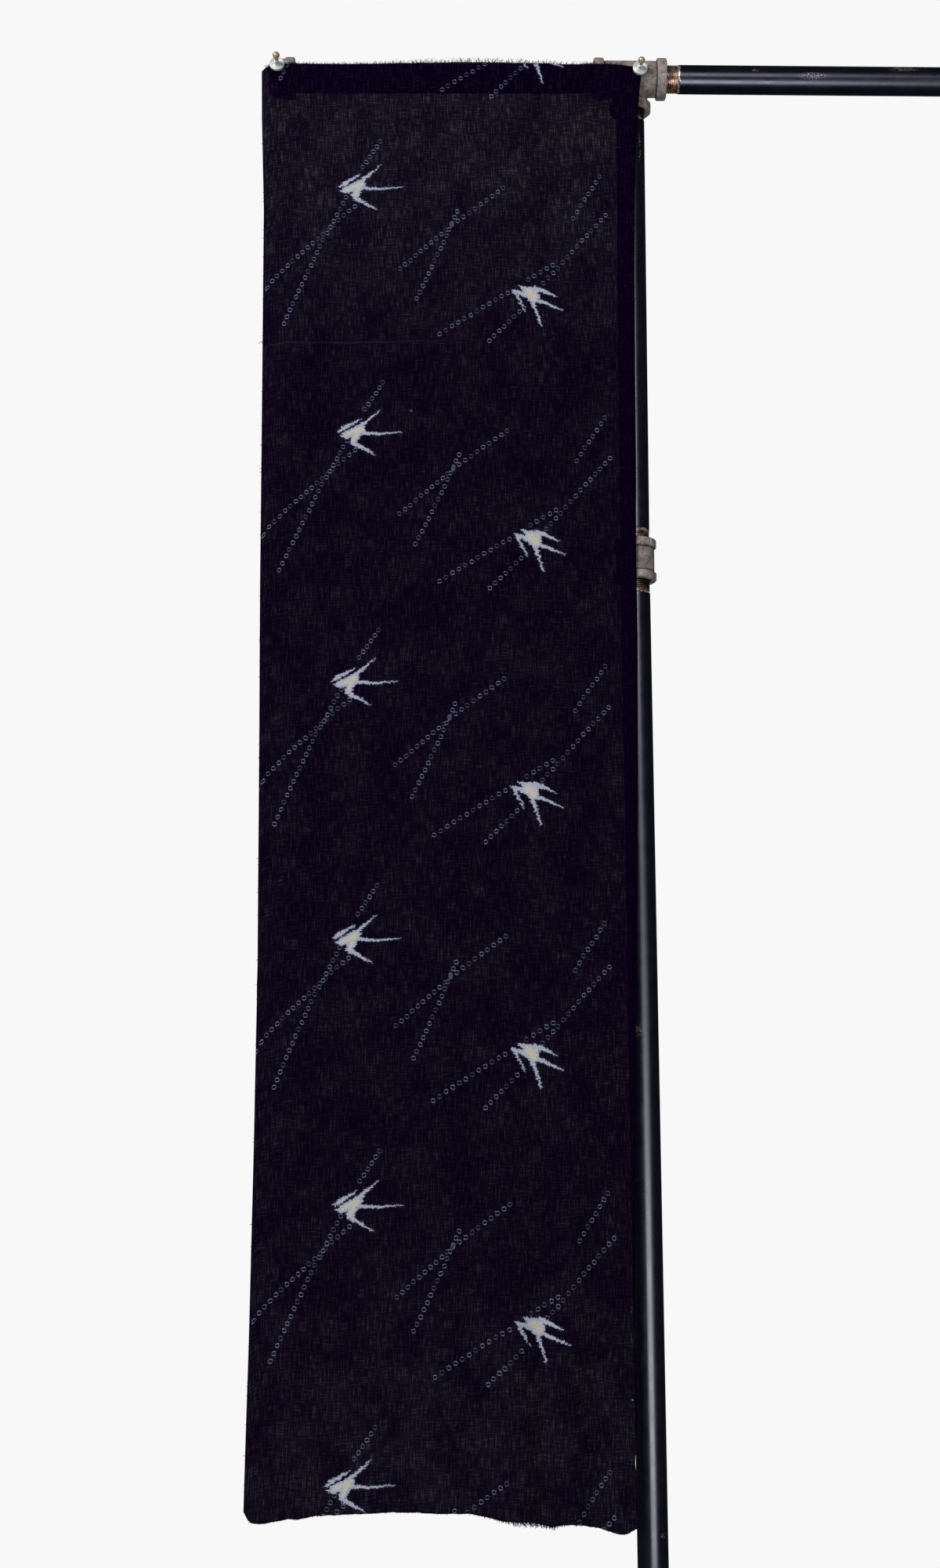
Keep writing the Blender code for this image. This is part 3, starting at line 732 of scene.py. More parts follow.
def thread_shift(tree, place, lengthwise):
    """A shift that is new for each thread and changes slowly along it."""
    parts = split(tree, place)
    along_part, across_part = (parts[0], parts[1]) if lengthwise == 0 else (parts[1], parts[0])
    number = maths(tree, "FLOOR", maths(tree, "DIVIDE", across_part, THREAD))
    where = put(tree, "ShaderNodeCombineXYZ", {0: maths(tree, "MULTIPLY", along_part, 0.16),
                                               1: maths(tree, "MULTIPLY", number, 5.3)})
    wave = speckle(tree, where.outputs[0], 1.0, 1.0)
    return maths(tree, "SUBTRACT", wave, 0.5)


def thick_weft(tree, place):
    """One weft thread is spun thicker than the rest, from the left selvedge to mid width."""
    across, down = split(tree, place)[:2]
    wander = maths(tree, "MULTIPLY", speckle(tree, place, 0.05, 1.0), 2.0)
    middle = maths(tree, "ADD", wander, 271.0)
    off_line = maths(tree, "ABSOLUTE", maths(tree, "SUBTRACT", down, middle))
    line = ramp(tree, off_line, 0.25, 0.75, 1.0, 0.0)
    return maths(tree, "MULTIPLY", line, ramp(tree, across, 130.0, 185.0, 1.0, 0.0))


def near_slub(tree, place, outside):
    """Two flecks of undyed yarn, each no wider than a thread, count as part of a bird."""
    for slub in SLUBS:
        away = vector_maths(tree, "DISTANCE", place, (*slub, 0.0), result="Value")
        outside = maths(tree, "MINIMUM", outside, maths(tree, "SUBTRACT", away, SLUB_R))
    return outside


def make_cotton():
    material, tree, shader = new_material(
        "indigo cotton", Roughness=0.95, Specular_IOR_Level=0.0)
    uv = put(tree, "ShaderNodeUVMap", uv_map="cloth_metres").outputs[0]
    place = vector_maths(tree, "MULTIPLY", uv, (1000.0, 1000.0, 0.0))
    threads = fill_group(tree, threads_group, {"Place": place})

    shift = put(tree, "ShaderNodeCombineXYZ", {
        0: maths(tree, "MULTIPLY", thread_shift(tree, place, 0), 7.5),
        1: maths(tree, "MULTIPLY", thread_shift(tree, place, 1), 4.0)}).outputs[0]
    slight = vector_maths(tree, "MULTIPLY", shift, (0.30, 0.30, 0.0))
    pattern = fill_group(tree, pattern_group, {
        "Place": vector_maths(tree, "ADD", place, shift),
        "Ring place": vector_maths(tree, "ADD", place, slight)})
    outside = near_slub(tree, place, pattern["Outside bird"])
    undyed = ramp(tree, outside, -0.45, 0.30, 1.0, 0.0)
    inner = ramp(tree, outside, -3.2, -1.2, 1.0, 0.0)
    bleed = ramp(tree, outside, 0.1, 1.5, 0.8, 0.0)

    hue = ramp(tree, speckle(tree, place, 0.55, 1.0), 0.42, 0.58)
    dye = blend(tree, hue, REDDISH_DYE, GREENISH_DYE)
    warp_share = maths(tree, "MULTIPLY", threads["Warp"], 1.15)
    worn = ramp(tree, maths(tree, "MULTIPLY_ADD", threads["Weft"], 0.85, warp_share), 0.965, 1.36)
    worn = maths(tree, "MAXIMUM", worn, maths(tree, "MULTIPLY", thick_weft(tree, place), 0.6))
    down = split(tree, place)[1]
    near_top = ramp(tree, down, 60.0, 330.0, 2.7, 1.0)
    near_hem = ramp(tree, down, 1020.0, 1290.0, 1.0, 1.7)
    patch = ramp(tree, threads["Patch"], 0.30, 0.70, 0.55, 1.50)
    # The pale streaks are stronger near the top of the cloth and weaker further down.
    streaks_near_top = ramp(tree, down, 60.0, 320.0, 1.0, 0.55)
    ground = blend(tree, maths(tree, "MULTIPLY", worn, streaks_near_top), DEEP_INDIGO, dye)
    tone = blend(tree, bleed, ground, DYE_BLEED)
    tone = blend(tree, pattern["Ring"], tone, RING_TONE)
    thread_tone = blend(tree, inner, BLUISH_THREAD, UNDYED)
    wear = ramp(tree, speckle(tree, place, 1.1, 2.0), 0.25, 0.60, 0.62, 1.0)
    thread_tone = blend(tree, 1.0, thread_tone, wear, "MULTIPLY")
    tone = blend(tree, undyed, tone, thread_tone)

    open_share = maths(tree, "MULTIPLY_ADD", worn, 0.0100, 0.0012)
    open_share = maths(tree, "MULTIPLY", open_share, patch)
    open_share = maths(tree, "MULTIPLY", open_share, maths(tree, "MULTIPLY", near_top, near_hem))
    closed = maths(tree, "SUBTRACT", 1.0, maths(tree, "SQRT", open_share), clamp=True)
    feed(tree, shader.inputs, Base_Color=tone, Alpha=closed,
         Normal=relief(tree, threads["Height"], 0.5, 0.0002))
    return material


cotton = make_cotton()
print("material:", cotton.name, "with", len(cotton.node_tree.nodes), "nodes")

# %% [markdown]
# The sheet becomes a piece that rides on the stand and takes the place of the solid cloth.
# It keeps a single layer of faces, and a modifier gives it both sides.

# %% Hand over the cloth
def make_cloth():
    cloth = hand_over(cloth_mesh, cotton, "indigo_cotton", "cloth_panel")
    thickness = cloth.modifiers.new("thickness", "SOLIDIFY")
    thickness.thickness = CLOTH_THICK
    thickness.offset = 0.0
    return cloth


cloth = make_cloth()

# %% [markdown]
# The top and the hem are cut, not sewn, so short ends of thread stand out along them, and
# longer ones where the cut was ragged. Hundreds of thin curves with a taper would be slow as
# separate objects, so each edge is one curve object, made a mesh at once.

# %% Loose threads
STRAND_STEPS = 4
SELVEDGE_ENDS = 150


def thread_curve(name, strands, radius):
    data = bpy.data.curves.new(name, "CURVE")
    data.dimensions = "3D"
    data.bevel_depth = radius
    data.bevel_resolution = 0
    data.use_fill_caps = True
    for points in strands:
        spline = data.splines.new("POLY")
        spline.points.add(len(points) - 1)
        for number, (target, place) in enumerate(zip(spline.points, points)):
            target.co = (*place, 1.0)
            target.radius = 1.0 - 0.45 * number / (len(points) - 1)
    holder = put_in_scene(name + "_curve", data)
    mesh = bpy.data.meshes.new_from_object(holder)
    bpy.data.objects.remove(holder)
    mesh.name = name
    mesh.shade_smooth()
    return mesh


def strand(root, way, length, curl):
    """Points of one loose end that leaves root along way and bends as it goes."""
    points = [Vector(root)]
    side = Vector((random.uniform(-1.0, 1.0), random.uniform(-0.7, 0.3), 0.0)) * curl
    for number in range(1, STRAND_STEPS + 1):
        share = number / STRAND_STEPS
        points.append(Vector(root) + Vector(way) * length * share + side * length * share * share)
    return points


def hem_strands():
    strands = []
    share = 0.004
    while share < 0.997:
        x = HEM[0][0] + (HEM[-1][0] - HEM[0][0]) * share
        ragged = math.exp(-(((x + 0.100) / 0.026) ** 2))
        length = random.uniform(0.0005, 0.0017) + ragged * random.uniform(0.0003, 0.0036)
        root = cloth_point(share, 0.9993)[0]
        way = Vector((random.uniform(-0.25, 0.25), random.uniform(-0.2, 0.2), -1.0))
        strands.append(strand(root, way, length, 0.5 + 0.5 * ragged))
        share += random.uniform(0.0010, 0.0024) * (1.0 - 0.60 * ragged)
    return strands


def top_strands():
    strands = []
    share = 0.01
    while share < 0.97:
        x = TOP_EDGE[0][0] + (TOP_EDGE[-1][0] - TOP_EDGE[0][0]) * share
        thick = math.exp(-(((x + 0.150) / 0.080) ** 2))
        length = random.uniform(0.0008, 0.0024) + thick * random.uniform(0.0, 0.0030)
        root = cloth_point(share, 0.0004)[0]
        way = Vector((random.uniform(-0.9, 0.9), random.uniform(-0.3, 0.0), 1.0))
        strands.append(strand(root, way, length, 0.9))
        share += random.uniform(0.0012, 0.0032)
    return strands


def edge_strands():
    strands = []
    for _ in range(SELVEDGE_ENDS):
        down = random.uniform(0.01, 0.99)
        across, sideways = random.choice(((0.0006, -1.0), (0.9994, 1.0)))
        length = random.uniform(0.0004, 0.0014)
        root = cloth_point(across, down)[0]
        way = Vector((sideways, random.uniform(-0.3, 0.1), random.uniform(-0.8, 0.8)))
        strands.append(strand(root, way, length, 0.8))
    stray = cloth_point(0.0006, 0.2045)[0]
    strands.append([stray, stray + Vector((-0.0016, -0.0003, 0.0014)),
                    stray + Vector((-0.0030, -0.0004, 0.0008)),
                    stray + Vector((-0.0034, -0.0003, -0.0012))])
    return strands


print("loose ends along the hem:", len(hem_strands()))

# %% [markdown]
# Loose ends are the same dyed cotton, but a single thread lets more light round it than the
# cloth does, so its tone is a shade lighter and greyer along its length.

# %% Material: loose thread, and the frayed edges
LOOSE_THREAD_R = 0.00027


def make_frays():
    thread = mottled("loose indigo thread", 900.0, 2.0, (0.004, 0.003, 0.010, 1.0),
                     (0.022, 0.022, 0.040, 1.0), Roughness=0.9, Specular_IOR_Level=0.05)
    made = []
    for name, strands in (("hem_fray", hem_strands()), ("top_fray", top_strands()),
                          ("selvedge_fray", edge_strands())):
        made.append(hand_over(thread_curve(name, strands, LOOSE_THREAD_R), thread, "indigo_cotton"))
        print(name, len(strands), "threads")
    return made


frays = make_frays()

# %% [markdown]
# Cast iron fittings have a skin of fine sand marks, darker in its pits and paler on the coupling's
# bands. The corner behind each band of the tee and the coupling gets painted shade, nearly black.
# The grain is a group with its colours and scale as inputs, and one material fills it for tee,
# coupling, caps and flange alike.

# %% Node group: cast grain
def make_cast_group():
    tree, takes, gives = new_group(
        "cast grain",
        [("Place", VECTOR, None), ("Scale", FLOAT, 900.0), ("Crevice shade", FLOAT, 0.0),
         ("Pale band", FLOAT, 0.0),
         ("Dark", COLOUR, (0.06, 0.05, 0.05, 1.0)), ("Light", COLOUR, (0.2, 0.18, 0.17, 1.0))],
        [("Tone", COLOUR), ("Height", FLOAT), ("Roughness", FLOAT)],
    )
    grain = speckle(tree, takes["Place"], takes["Scale"], 4.0, 0.65)
    mottle = speckle(tree, takes["Place"], maths(tree, "MULTIPLY", takes["Scale"], 0.16), 3.0)
    mixed = maths(tree, "MULTIPLY_ADD", mottle, 0.55, maths(tree, "MULTIPLY", grain, 0.75))
    share = ramp(tree, mixed, 0.42, 0.88)
    skin = blend(tree, share, takes["Dark"], takes["Light"])
    bright = blend(tree, share, (0.22, 0.20, 0.19, 1.0), (0.72, 0.67, 0.65, 1.0))
    # The coupling's bands are paler than its body.
    skin = blend(tree, takes["Pale band"], skin, bright)
    # Painted shade: the corner behind a band is darkened nearly to black.
    painted_shade = maths(tree, "MULTIPLY", takes["Crevice shade"], 0.85)
    skin = blend(tree, painted_shade, skin, (0.008, 0.007, 0.007, 1.0))
    feed(tree, gives, Tone=skin, Height=maths(tree, "MULTIPLY_ADD", mottle, 0.8, grain),
         Roughness=ramp(tree, mixed, 0.4, 0.9, 0.68, 0.46))
    return tree


cast_group = make_cast_group()


def make_cast_iron():
    material, tree, shader = new_material("cast iron", Metallic=0.20, Specular_IOR_Level=0.45)
    crevice_shade = painted(tree, "crevice_shade")
    pale_band = painted(tree, "pale_band")
    inputs = {"Place": place_on_object(tree), "Scale": 860.0, "Crevice shade": crevice_shade, "Pale band": pale_band,
              "Dark": (0.092, 0.070, 0.063, 1.0), "Light": (0.520, 0.440, 0.410, 1.0)}
    skin = fill_group(tree, cast_group, inputs)
    feed(tree, shader.inputs, Base_Color=skin["Tone"], Roughness=skin["Roughness"],
         Normal=relief(tree, skin["Height"], 0.55, 0.00035))
    return material


cast_iron = make_cast_iron()
print("material:", cast_iron.name)

# %% [markdown]
# The tee is a run with a band round each mouth, and a branch that leaves it downwards. Both
# are turned, then joined by a Boolean, which is applied at once. The line where they meet is
# smoothed in the mesh, because a casting has a soft fillet there and never a sharp corner.

# %% Tee
BAND_WIDTH = 0.0088
CHAMFER = 0.0009
SOCKET_R = 0.013635
TEE_SOCKET = 0.0125
TEE_AT = Matrix.Translation((COLUMN_X, 0.0, BAR_Z))
SIDEWAYS = Matrix.Rotation(math.radians(90.0), 4, "Y")
OVER = Matrix.Rotation(math.radians(180.0), 4, "X")
UP = Vector((0.0, 0.0, 1.0))
BODY_STEP = 0.0018
# how dark the painted shade behind a band is
CREVICE_SHADE_DEPTH = 0.85
# how much paler the coupling's bands are
PALE_BAND_SHARE = 0.25
FILLET_REACH = 0.0034
FILLET_PASSES = 14


def lip(reach):
    return [(SOCKET_R, reach - 0.0016), (SOCKET_R + 0.0020, reach)]


def mouth(reach, depth):
    """From the bottom of a socket out to the lip, for a mouth that faces up."""
    return [(0.0, reach - depth), (SOCKET_R, reach - depth)] + lip(reach)


def band(reach, body_r, width):
    inner = reach - width
    return [(BAND_R - CHAMFER, reach), (BAND_R, reach - CHAMFER), (BAND_R, inner + CHAMFER),
            (BAND_R - CHAMFER, inner), (body_r - 0.0003, inner - 0.0002),
            (body_r - 0.0004, inner - 0.0009), (body_r, inner - 0.0017)]


def body_rings(body_r, start, end):
    count = max(2, int(abs(end - start) / BODY_STEP))
    return [(body_r, start + (end - start) * number / count) for number in range(1, count)]


def mark(mesh, label, share, centre, axis, chosen):
    """Note a share at the corners that chosen picks, by their reach along an axis and off it."""
    marks = mesh.attributes.get(label) or mesh.attributes.new(label, "FLOAT", "POINT")
    for vert, spot in zip(mesh.vertices, marks.data):
        arm = vert.co - centre
        reach = arm.dot(axis)
        if chosen(abs(reach), (arm - axis * reach).length):
            spot.value = share


def in_crevice(inner):
    """Painted shade goes in the corner behind a band, which ends inner from the middle."""
    return lambda reach, off: inner - 0.0016 < reach < inner and off < BAND_R - 0.0012


def on_band(reach, off):
    return off > BAND_R - 0.0003


def upside_down(outline):
    return [(radius, -height) for radius, height in reversed(outline)]


def join(mesh, other):
    """Apply a Boolean that joins two meshes, and give the new mesh."""
    first, second = put_in_scene("first", mesh), put_in_scene("second", other)
    boolean = first.modifiers.new("boolean", "BOOLEAN")
    boolean.operation = "UNION"
    boolean.object = second
    boolean.solver = "EXACT"
    graph = bpy.context.evaluated_depsgraph_get()
    result = bpy.data.meshes.new_from_object(first.evaluated_get(graph))
    bpy.data.objects.remove(first)
    bpy.data.objects.remove(second)
    return result


def make_tee():
    end = mouth(TEE_REACH, TEE_SOCKET) + band(TEE_REACH, TEE_BODY_R, BAND_WIDTH)
    middle = body_rings(TEE_BODY_R, end[-1][1], -end[-1][1])
    run = turned("tee run", end + middle + upside_down(end), TEE_AT @ SIDEWAYS, 80)
    branch_r = TEE_BODY_R - 0.0002
    lower = mouth(TEE_REACH, TEE_SOCKET) + band(TEE_REACH, branch_r, BAND_WIDTH)
    inside = body_rings(branch_r, lower[-1][1], 0.004) + [(branch_r, 0.004), (0.0, 0.004)]
    branch = turned("tee branch", lower + inside, TEE_AT @ OVER, 80)
    bm = bmesh.new()
    bm.from_mesh(join(run, branch))
    fillet = []
    for vert in bm.verts:
        x, y, z = vert.co - TEE_AT.translation
        off_run = math.hypot(y, z) - TEE_BODY_R
        off_branch = math.hypot(x, y) - branch_r
        if z < 0.0 and max(abs(off_run), abs(off_branch)) < FILLET_REACH:
            fillet.append(vert)
    for _ in range(FILLET_PASSES):
        bmesh.ops.smooth_vert(bm, verts=fillet, factor=0.5, use_axis_x=True, use_axis_y=True,
                              use_axis_z=True)
    print("fillet:", len(fillet), "corners")
    mesh = into_mesh(bm, "tee_fitting", 40.0)
    # Painted shade in the corners behind the tee's bands.
    for axis in (Vector((1.0, 0.0, 0.0)), UP):
        mark(mesh, "crevice_shade", CREVICE_SHADE_DEPTH, TEE_AT.translation, axis,
             in_crevice(TEE_REACH - BAND_WIDTH))
    return hand_over(mesh, cast_iron, "cast_fitting", "tee")


tee = make_tee()

# %% [markdown]
# The coupling joins the two lengths of the post. It is open right through, apart from a
# thin stop, and two short cast ribs stand on its upper band.

# %% Coupling
COUPLING_LENGTH = 0.0382
COUPLING_BODY_R = 0.0176
COUPLING_BAND = 0.0076
COUPLING_Z = BAR_Z - 0.4681
COUPLING_AT = Matrix.Translation((COLUMN_X, 0.0, COUPLING_Z))


def cast_rib(bm, angle, height, length):
    """A narrow upright rib on a band, its foot sunk into the casting."""
    made = bmesh.ops.create_cube(bm, size=1.0)["verts"]
    bmesh.ops.scale(bm, vec=(0.0016, 0.0013, length), verts=made)
    lay = COUPLING_AT @ Matrix.Rotation(angle, 4, "Z") @ Matrix.Translation(
        (BAND_R + 0.00005, 0.0, height))
    bmesh.ops.transform(bm, matrix=lay, verts=made)
    edges = list({edge for vert in made for edge in vert.link_edges})
    bmesh.ops.bevel(bm, geom=edges, offset=0.00035, segments=2, affect="EDGES", profile=0.5,
                    material=-1)


def make_coupling():
    half = COUPLING_LENGTH / 2
    end = lip(half) + band(half, COUPLING_BODY_R, COUPLING_BAND)
    outside = end + body_rings(COUPLING_BODY_R, end[-1][1], -end[-1][1]) + upside_down(end)
    stop = [(SOCKET_R, -0.0015), (0.0105, -0.0015), (0.0105, 0.0015), (SOCKET_R, 0.0015)]
    bm = bmesh.new()
    turn(bm, outside + stop + outside[:1], COUPLING_AT, 80)
    for angle in (-47.0, 133.0):
        cast_rib(bm, math.radians(angle), half - COUPLING_BAND / 2, COUPLING_BAND - 0.0012)
    mesh = into_mesh(bm, "coupling_fitting")
    middle = COUPLING_AT.translation
    # Painted shade in the corners behind the coupling's bands.
    mark(mesh, "crevice_shade", CREVICE_SHADE_DEPTH, middle, UP, in_crevice(half - COUPLING_BAND))
    mark(mesh, "pale_band", PALE_BAND_SHARE, middle, UP, on_band)
    hand_over(mesh, cast_iron, "cast_fitting", "coupling")


make_coupling()

# %% [markdown]
# A domed cap closes each end of the crossbar. The left one looks out behind its pin. The
# right one lies outside the photograph and is made the same.

# %% Caps
CAP_LENGTH = 0.0250
CAP_BODY_R = 0.0180
CAP_MOUTH = 0.3159
PIVOT = TEE_REACH - TEE_SOCKET / 2


def arm_place(side):
    """Where one half of the crossbar lies: Z runs out along it, from the tee's socket."""
    tilt = side * (math.radians(90.0) + (LEFT_SAG if side < 0 else 0.0))
    start = Matrix.Translation((COLUMN_X + side * PIVOT, 0.0, BAR_Z))
    return start @ Matrix.Rotation(tilt, 4, "Y")


def cap_outline():
    shoulder = CAP_LENGTH - 0.0075
    dome = []
    for number in range(0, 9):
        angle = math.radians(90.0 - 11.25 * number)
        shrink = CAP_BODY_R * (1.0 - math.cos(angle)) * 0.55
        dome.append((CAP_BODY_R - shrink, shoulder + 0.0075 * math.sin(angle)))
    socket = [(BAND_R - CHAMFER, 0.0), (SOCKET_R + 0.0011, 0.0), (SOCKET_R, 0.0011),
              (SOCKET_R, 0.0150), (0.0, 0.0150)]
    rim = [(CAP_BODY_R, BAND_WIDTH + 0.0008), (BAND_R - CHAMFER, BAND_WIDTH),
           (BAND_R, BAND_WIDTH - CHAMFER), (BAND_R, CHAMFER)]
    return [(0.0, CAP_LENGTH)] + dome + rim + socket


def make_cap(side, label):
    place = arm_place(side) @ Matrix.Translation((0.0, 0.0, CAP_MOUTH - PIVOT))
    mesh = turned(f"end_cap_{label}", cap_outline(), place)
    return hand_over(mesh, cast_iron, "cast_fitting", f"cap_{label}")


caps = [make_cap(-1, "left"), make_cap(1, "right")]

# %% [markdown]
# The pipe is black lacquered steel, and its threads are bare. A thread is one tooth's outline,
# spun about the pipe while it moves along, which is what a spin's dvec does. The lacquer stops
# in a ragged edge with a rim of clean metal. An attribute says how far along that edge each
# corner is: 1 on the thread and 0 on the lacquer.

# %% Helpers for threaded pipe
PIPE_R = 0.013335
THREAD_LENGTH = 0.020
THREAD_CORE = 0.01215
THREAD_CREST = 0.01312
PITCH = 0.00181
# where the lacquer is whole again, how bare its ragged edge starts, and how far that reaches
END_LENGTH = THREAD_LENGTH + 0.0042
EDGE_BARE = 0.66
EDGE_REACH = 0.0038


def screw_thread(bm, start, length):
    before = set(bm.verts)
    tooth = [(THREAD_CORE - 0.0003, -0.47), (THREAD_CREST, -0.10), (THREAD_CREST, 0.10),
             (THREAD_CORE - 0.0003, 0.47)]
    ring = [bm.verts.new((radius, 0.0, start + share * PITCH)) for radius, share in tooth]
    loop = [bm.edges.new((ring[i], ring[(i + 1) % 4])) for i in range(4)]
    turns = length / PITCH
    steps = int(turns * 40)
    bmesh.ops.spin(bm, geom=ring + loop, cent=(0.0, 0.0, 0.0), axis=(0.0, 0.0, 1.0),
                   angle=math.tau * turns, steps=steps, dvec=(0.0, 0.0, length / steps))
    fresh = [vert for vert in bm.verts if vert not in before]
    open_edges = list({e for v in fresh for e in v.link_edges if e.is_boundary})
    bmesh.ops.holes_fill(bm, edges=open_edges, sides=4)
    return fresh


def pipe_outline(length):
    foot = [(0.0, 0.0), (THREAD_CORE - 0.0006, 0.0), (THREAD_CORE, 0.0006),
            (THREAD_CORE, THREAD_LENGTH - 0.0004), (PIPE_R - 0.0002, THREAD_LENGTH + 0.0006),
            (PIPE_R, THREAD_LENGTH + 0.0012), (PIPE_R, END_LENGTH)]
    count = max(2, int(length / 0.06))
    middle = [(PIPE_R, END_LENGTH + (length - 2 * END_LENGTH) * number / count)
              for number in range(1, count)]
    return foot + middle + [(radius, length - height) for radius, height in reversed(foot)]


def bareness(height, length):
    """1 on the thread, less where the lacquer's ragged edge starts, 0 on the lacquer."""
    inside = min(height, length - height)
    if inside < THREAD_LENGTH + 0.0003:
        return 1.0
    return max(0.0, EDGE_BARE * (1.0 - (inside - THREAD_LENGTH - 0.0003) / EDGE_REACH))


def oil_and_shade_share(height, length, oil_and_shade_reach):
    """Oil and dirt on the thread next to the socket, with painted shade where the fitting shades
    it, over a reach of its own.
    """
    (foot_hidden, foot_reach), (top_hidden, top_reach) = oil_and_shade_reach
    foot = 1.0 - smooth_step(foot_hidden, foot_hidden + foot_reach, height)
    top = 1.0 - smooth_step(top_hidden, top_hidden + top_reach, length - height)
    return max(foot, top)


def make_pipe(name, node, length, place, oil_and_shade_reach):
    bm = bmesh.new()
    bare = bm.verts.layers.float.new("bare")
    # how much oil, dirt and painted shade darken each corner next to a socket
    oil_and_shade = bm.verts.layers.float.new("oil_and_shade")
    for vert in turn(bm, pipe_outline(length), Matrix(), 64):
        vert[bare] = bareness(vert.co.z, length)
        vert[oil_and_shade] = oil_and_shade_share(vert.co.z, length, oil_and_shade_reach)
    for start in (0.0012, length - THREAD_LENGTH + 0.0004):
        for vert in screw_thread(bm, start, THREAD_LENGTH - 0.0018):
            vert[bare] = 1.0
            vert[oil_and_shade] = oil_and_shade_share(vert.co.z, length, oil_and_shade_reach)
    bmesh.ops.transform(bm, matrix=place, verts=bm.verts)
    return hand_over(into_mesh(bm, name), lacquer, "black_pipe", node)


print("thread:", round(THREAD_LENGTH / PITCH, 1), "turns at each end")

# %% [markdown]
# Lacquer chips in small clusters where a pipe has been knocked. Fine noise gives the flakes,
# and a short table of knocks says where they gather, each with its own reach.

# %% Node group: chips
# x, y, z of the knock, and its reach along x, y and z
KNOCKS = (
    (COLUMN_X + 0.172, -0.0125, BAR_Z - 0.0015, 0.018, 0.012, 0.0042),
    (COLUMN_X + 0.258, -0.0110, BAR_Z + 0.0070, 0.016, 0.012, 0.0034),
    (COLUMN_X + 0.118, -0.0125, BAR_Z + 0.0040, 0.004, 0.010, 0.0020),
    (COLUMN_X + 0.0078, -0.0105, BAR_Z - 0.0730, 0.0011, 0.008, 0.0170),
    (COLUMN_X + 0.0130, -0.0100, 0.6930, 0.0030, 0.010, 0.0028),
    (0.012, 0.004, 0.2600, 0.008, 0.012, 0.0180),
    (-0.012, -0.004, 1.1200, 0.010, 0.012, 0.0090),
)


def make_chips_group():
    tree, takes, gives = new_group(
        "chips",
        [("Place", VECTOR, None), ("Fine", FLOAT, 1300.0), ("Level", FLOAT, 0.60)],
        [("Chip", FLOAT)],
    )
    fine = speckle(tree, takes["Place"], takes["Fine"], 1.0)
    flakes = ramp(tree, fine, takes["Level"], maths(tree, "ADD", takes["Level"], 0.04))
    gather = None
    for knock in KNOCKS:
        arm = vector_maths(tree, "SUBTRACT", takes["Place"], knock[:3])
        arm = vector_maths(tree, "DIVIDE", arm, knock[3:])
        away = vector_maths(tree, "LENGTH", arm, result="Value")
        near = ramp(tree, away, 0.45, 1.0, 1.0, 0.0)
        gather = near if gather is None else maths(tree, "MAXIMUM", gather, near)
    tree.links.new(maths(tree, "MULTIPLY", flakes, gather), gives["Chip"])
    return tree


chips_group = make_chips_group()
print("group:", chips_group.name, "at", len(KNOCKS), "knocks")

# %% [markdown]
# The lacquer and the bare thread are one material, so that their edge can be ragged: noise is added
# to the attribute along it, and the sum is cut off sharply. The thread is brassy under its old oil.
# Next to the socket it is darker still, partly from oil and dirt and partly from painted shade cast
# by the fitting over it. The ragged edge and the chips show clean metal.

# %% Material: black lacquered pipe with bare threads
def make_lacquer():
    material, tree, shader = new_material("black lacquered pipe", Specular_IOR_Level=0.5)
    place = place_on_object(tree)
    bare = painted(tree, "bare")
    ragged = maths(tree, "MULTIPLY_ADD", speckle(tree, place, 420.0, 3.0, 0.6), 1.7, -0.90)
    edge = ramp(tree, maths(tree, "ADD", bare, ragged), 0.46, 0.50)
    thread = ramp(tree, bare, 0.93, 0.99)
    chip = fill_group(tree, chips_group, {"Place": place})[0]
    chip = maths(tree, "MULTIPLY", chip, 0.7)
    metal = maths(tree, "MAXIMUM", maths(tree, "MAXIMUM", edge, thread), chip)

    stain = speckle(tree, place, 210.0, 3.0)
    brass = blend(tree, ramp(tree, stain, 0.35, 0.65), (0.080, 0.045, 0.028, 1.0),
                  (0.43, 0.285, 0.165, 1.0))
    oil_and_shade = painted(tree, "oil_and_shade")
    # Next to the socket the thread is painted nearly black: partly oil and dirt, partly painted
    # shade from the fitting.
    brass = blend(tree, oil_and_shade, brass, (0.016, 0.011, 0.008, 1.0))
    clean = (0.60, 0.555, 0.49, 1.0)
    stripped = blend(tree, thread, clean, brass)
    haze = speckle(tree, place, 60.0, 3.0)
    black = blend(tree, haze, (0.0009, 0.0009, 0.0028, 1.0), (0.0022, 0.0023, 0.0058, 1.0))
    gloss = ramp(tree, haze, 0.3, 0.7, 0.25, 0.31)
    rough = maths(tree, "MULTIPLY_ADD", metal, 0.06, gloss)
    ripple = maths(tree, "MULTIPLY_ADD", speckle(tree, place, 330.0, 2.0), 0.5,
                   maths(tree, "MULTIPLY", metal, -0.6))
    feed(tree, shader.inputs, Base_Color=blend(tree, metal, black, stripped), Roughness=rough,
         Metallic=maths(tree, "MULTIPLY", metal, 0.85), Normal=relief(tree, ripple, 0.25, 0.0001))
    return material


lacquer = make_lacquer()
print("material:", lacquer.name)

# %% [markdown]
# Four lengths of pipe make the stand. The left arm sags by less than half a degree in its
# socket, and the lower length of the post leans a little, as screwed pipe does.

# %% Pipes
ARM_LENGTH = 0.3048
LOWER_LENGTH = 1.524
LOWER_LEAN = math.radians(0.37)
BARE_AT_RUN = 0.0110
PIPE_FOOT = 0.0136


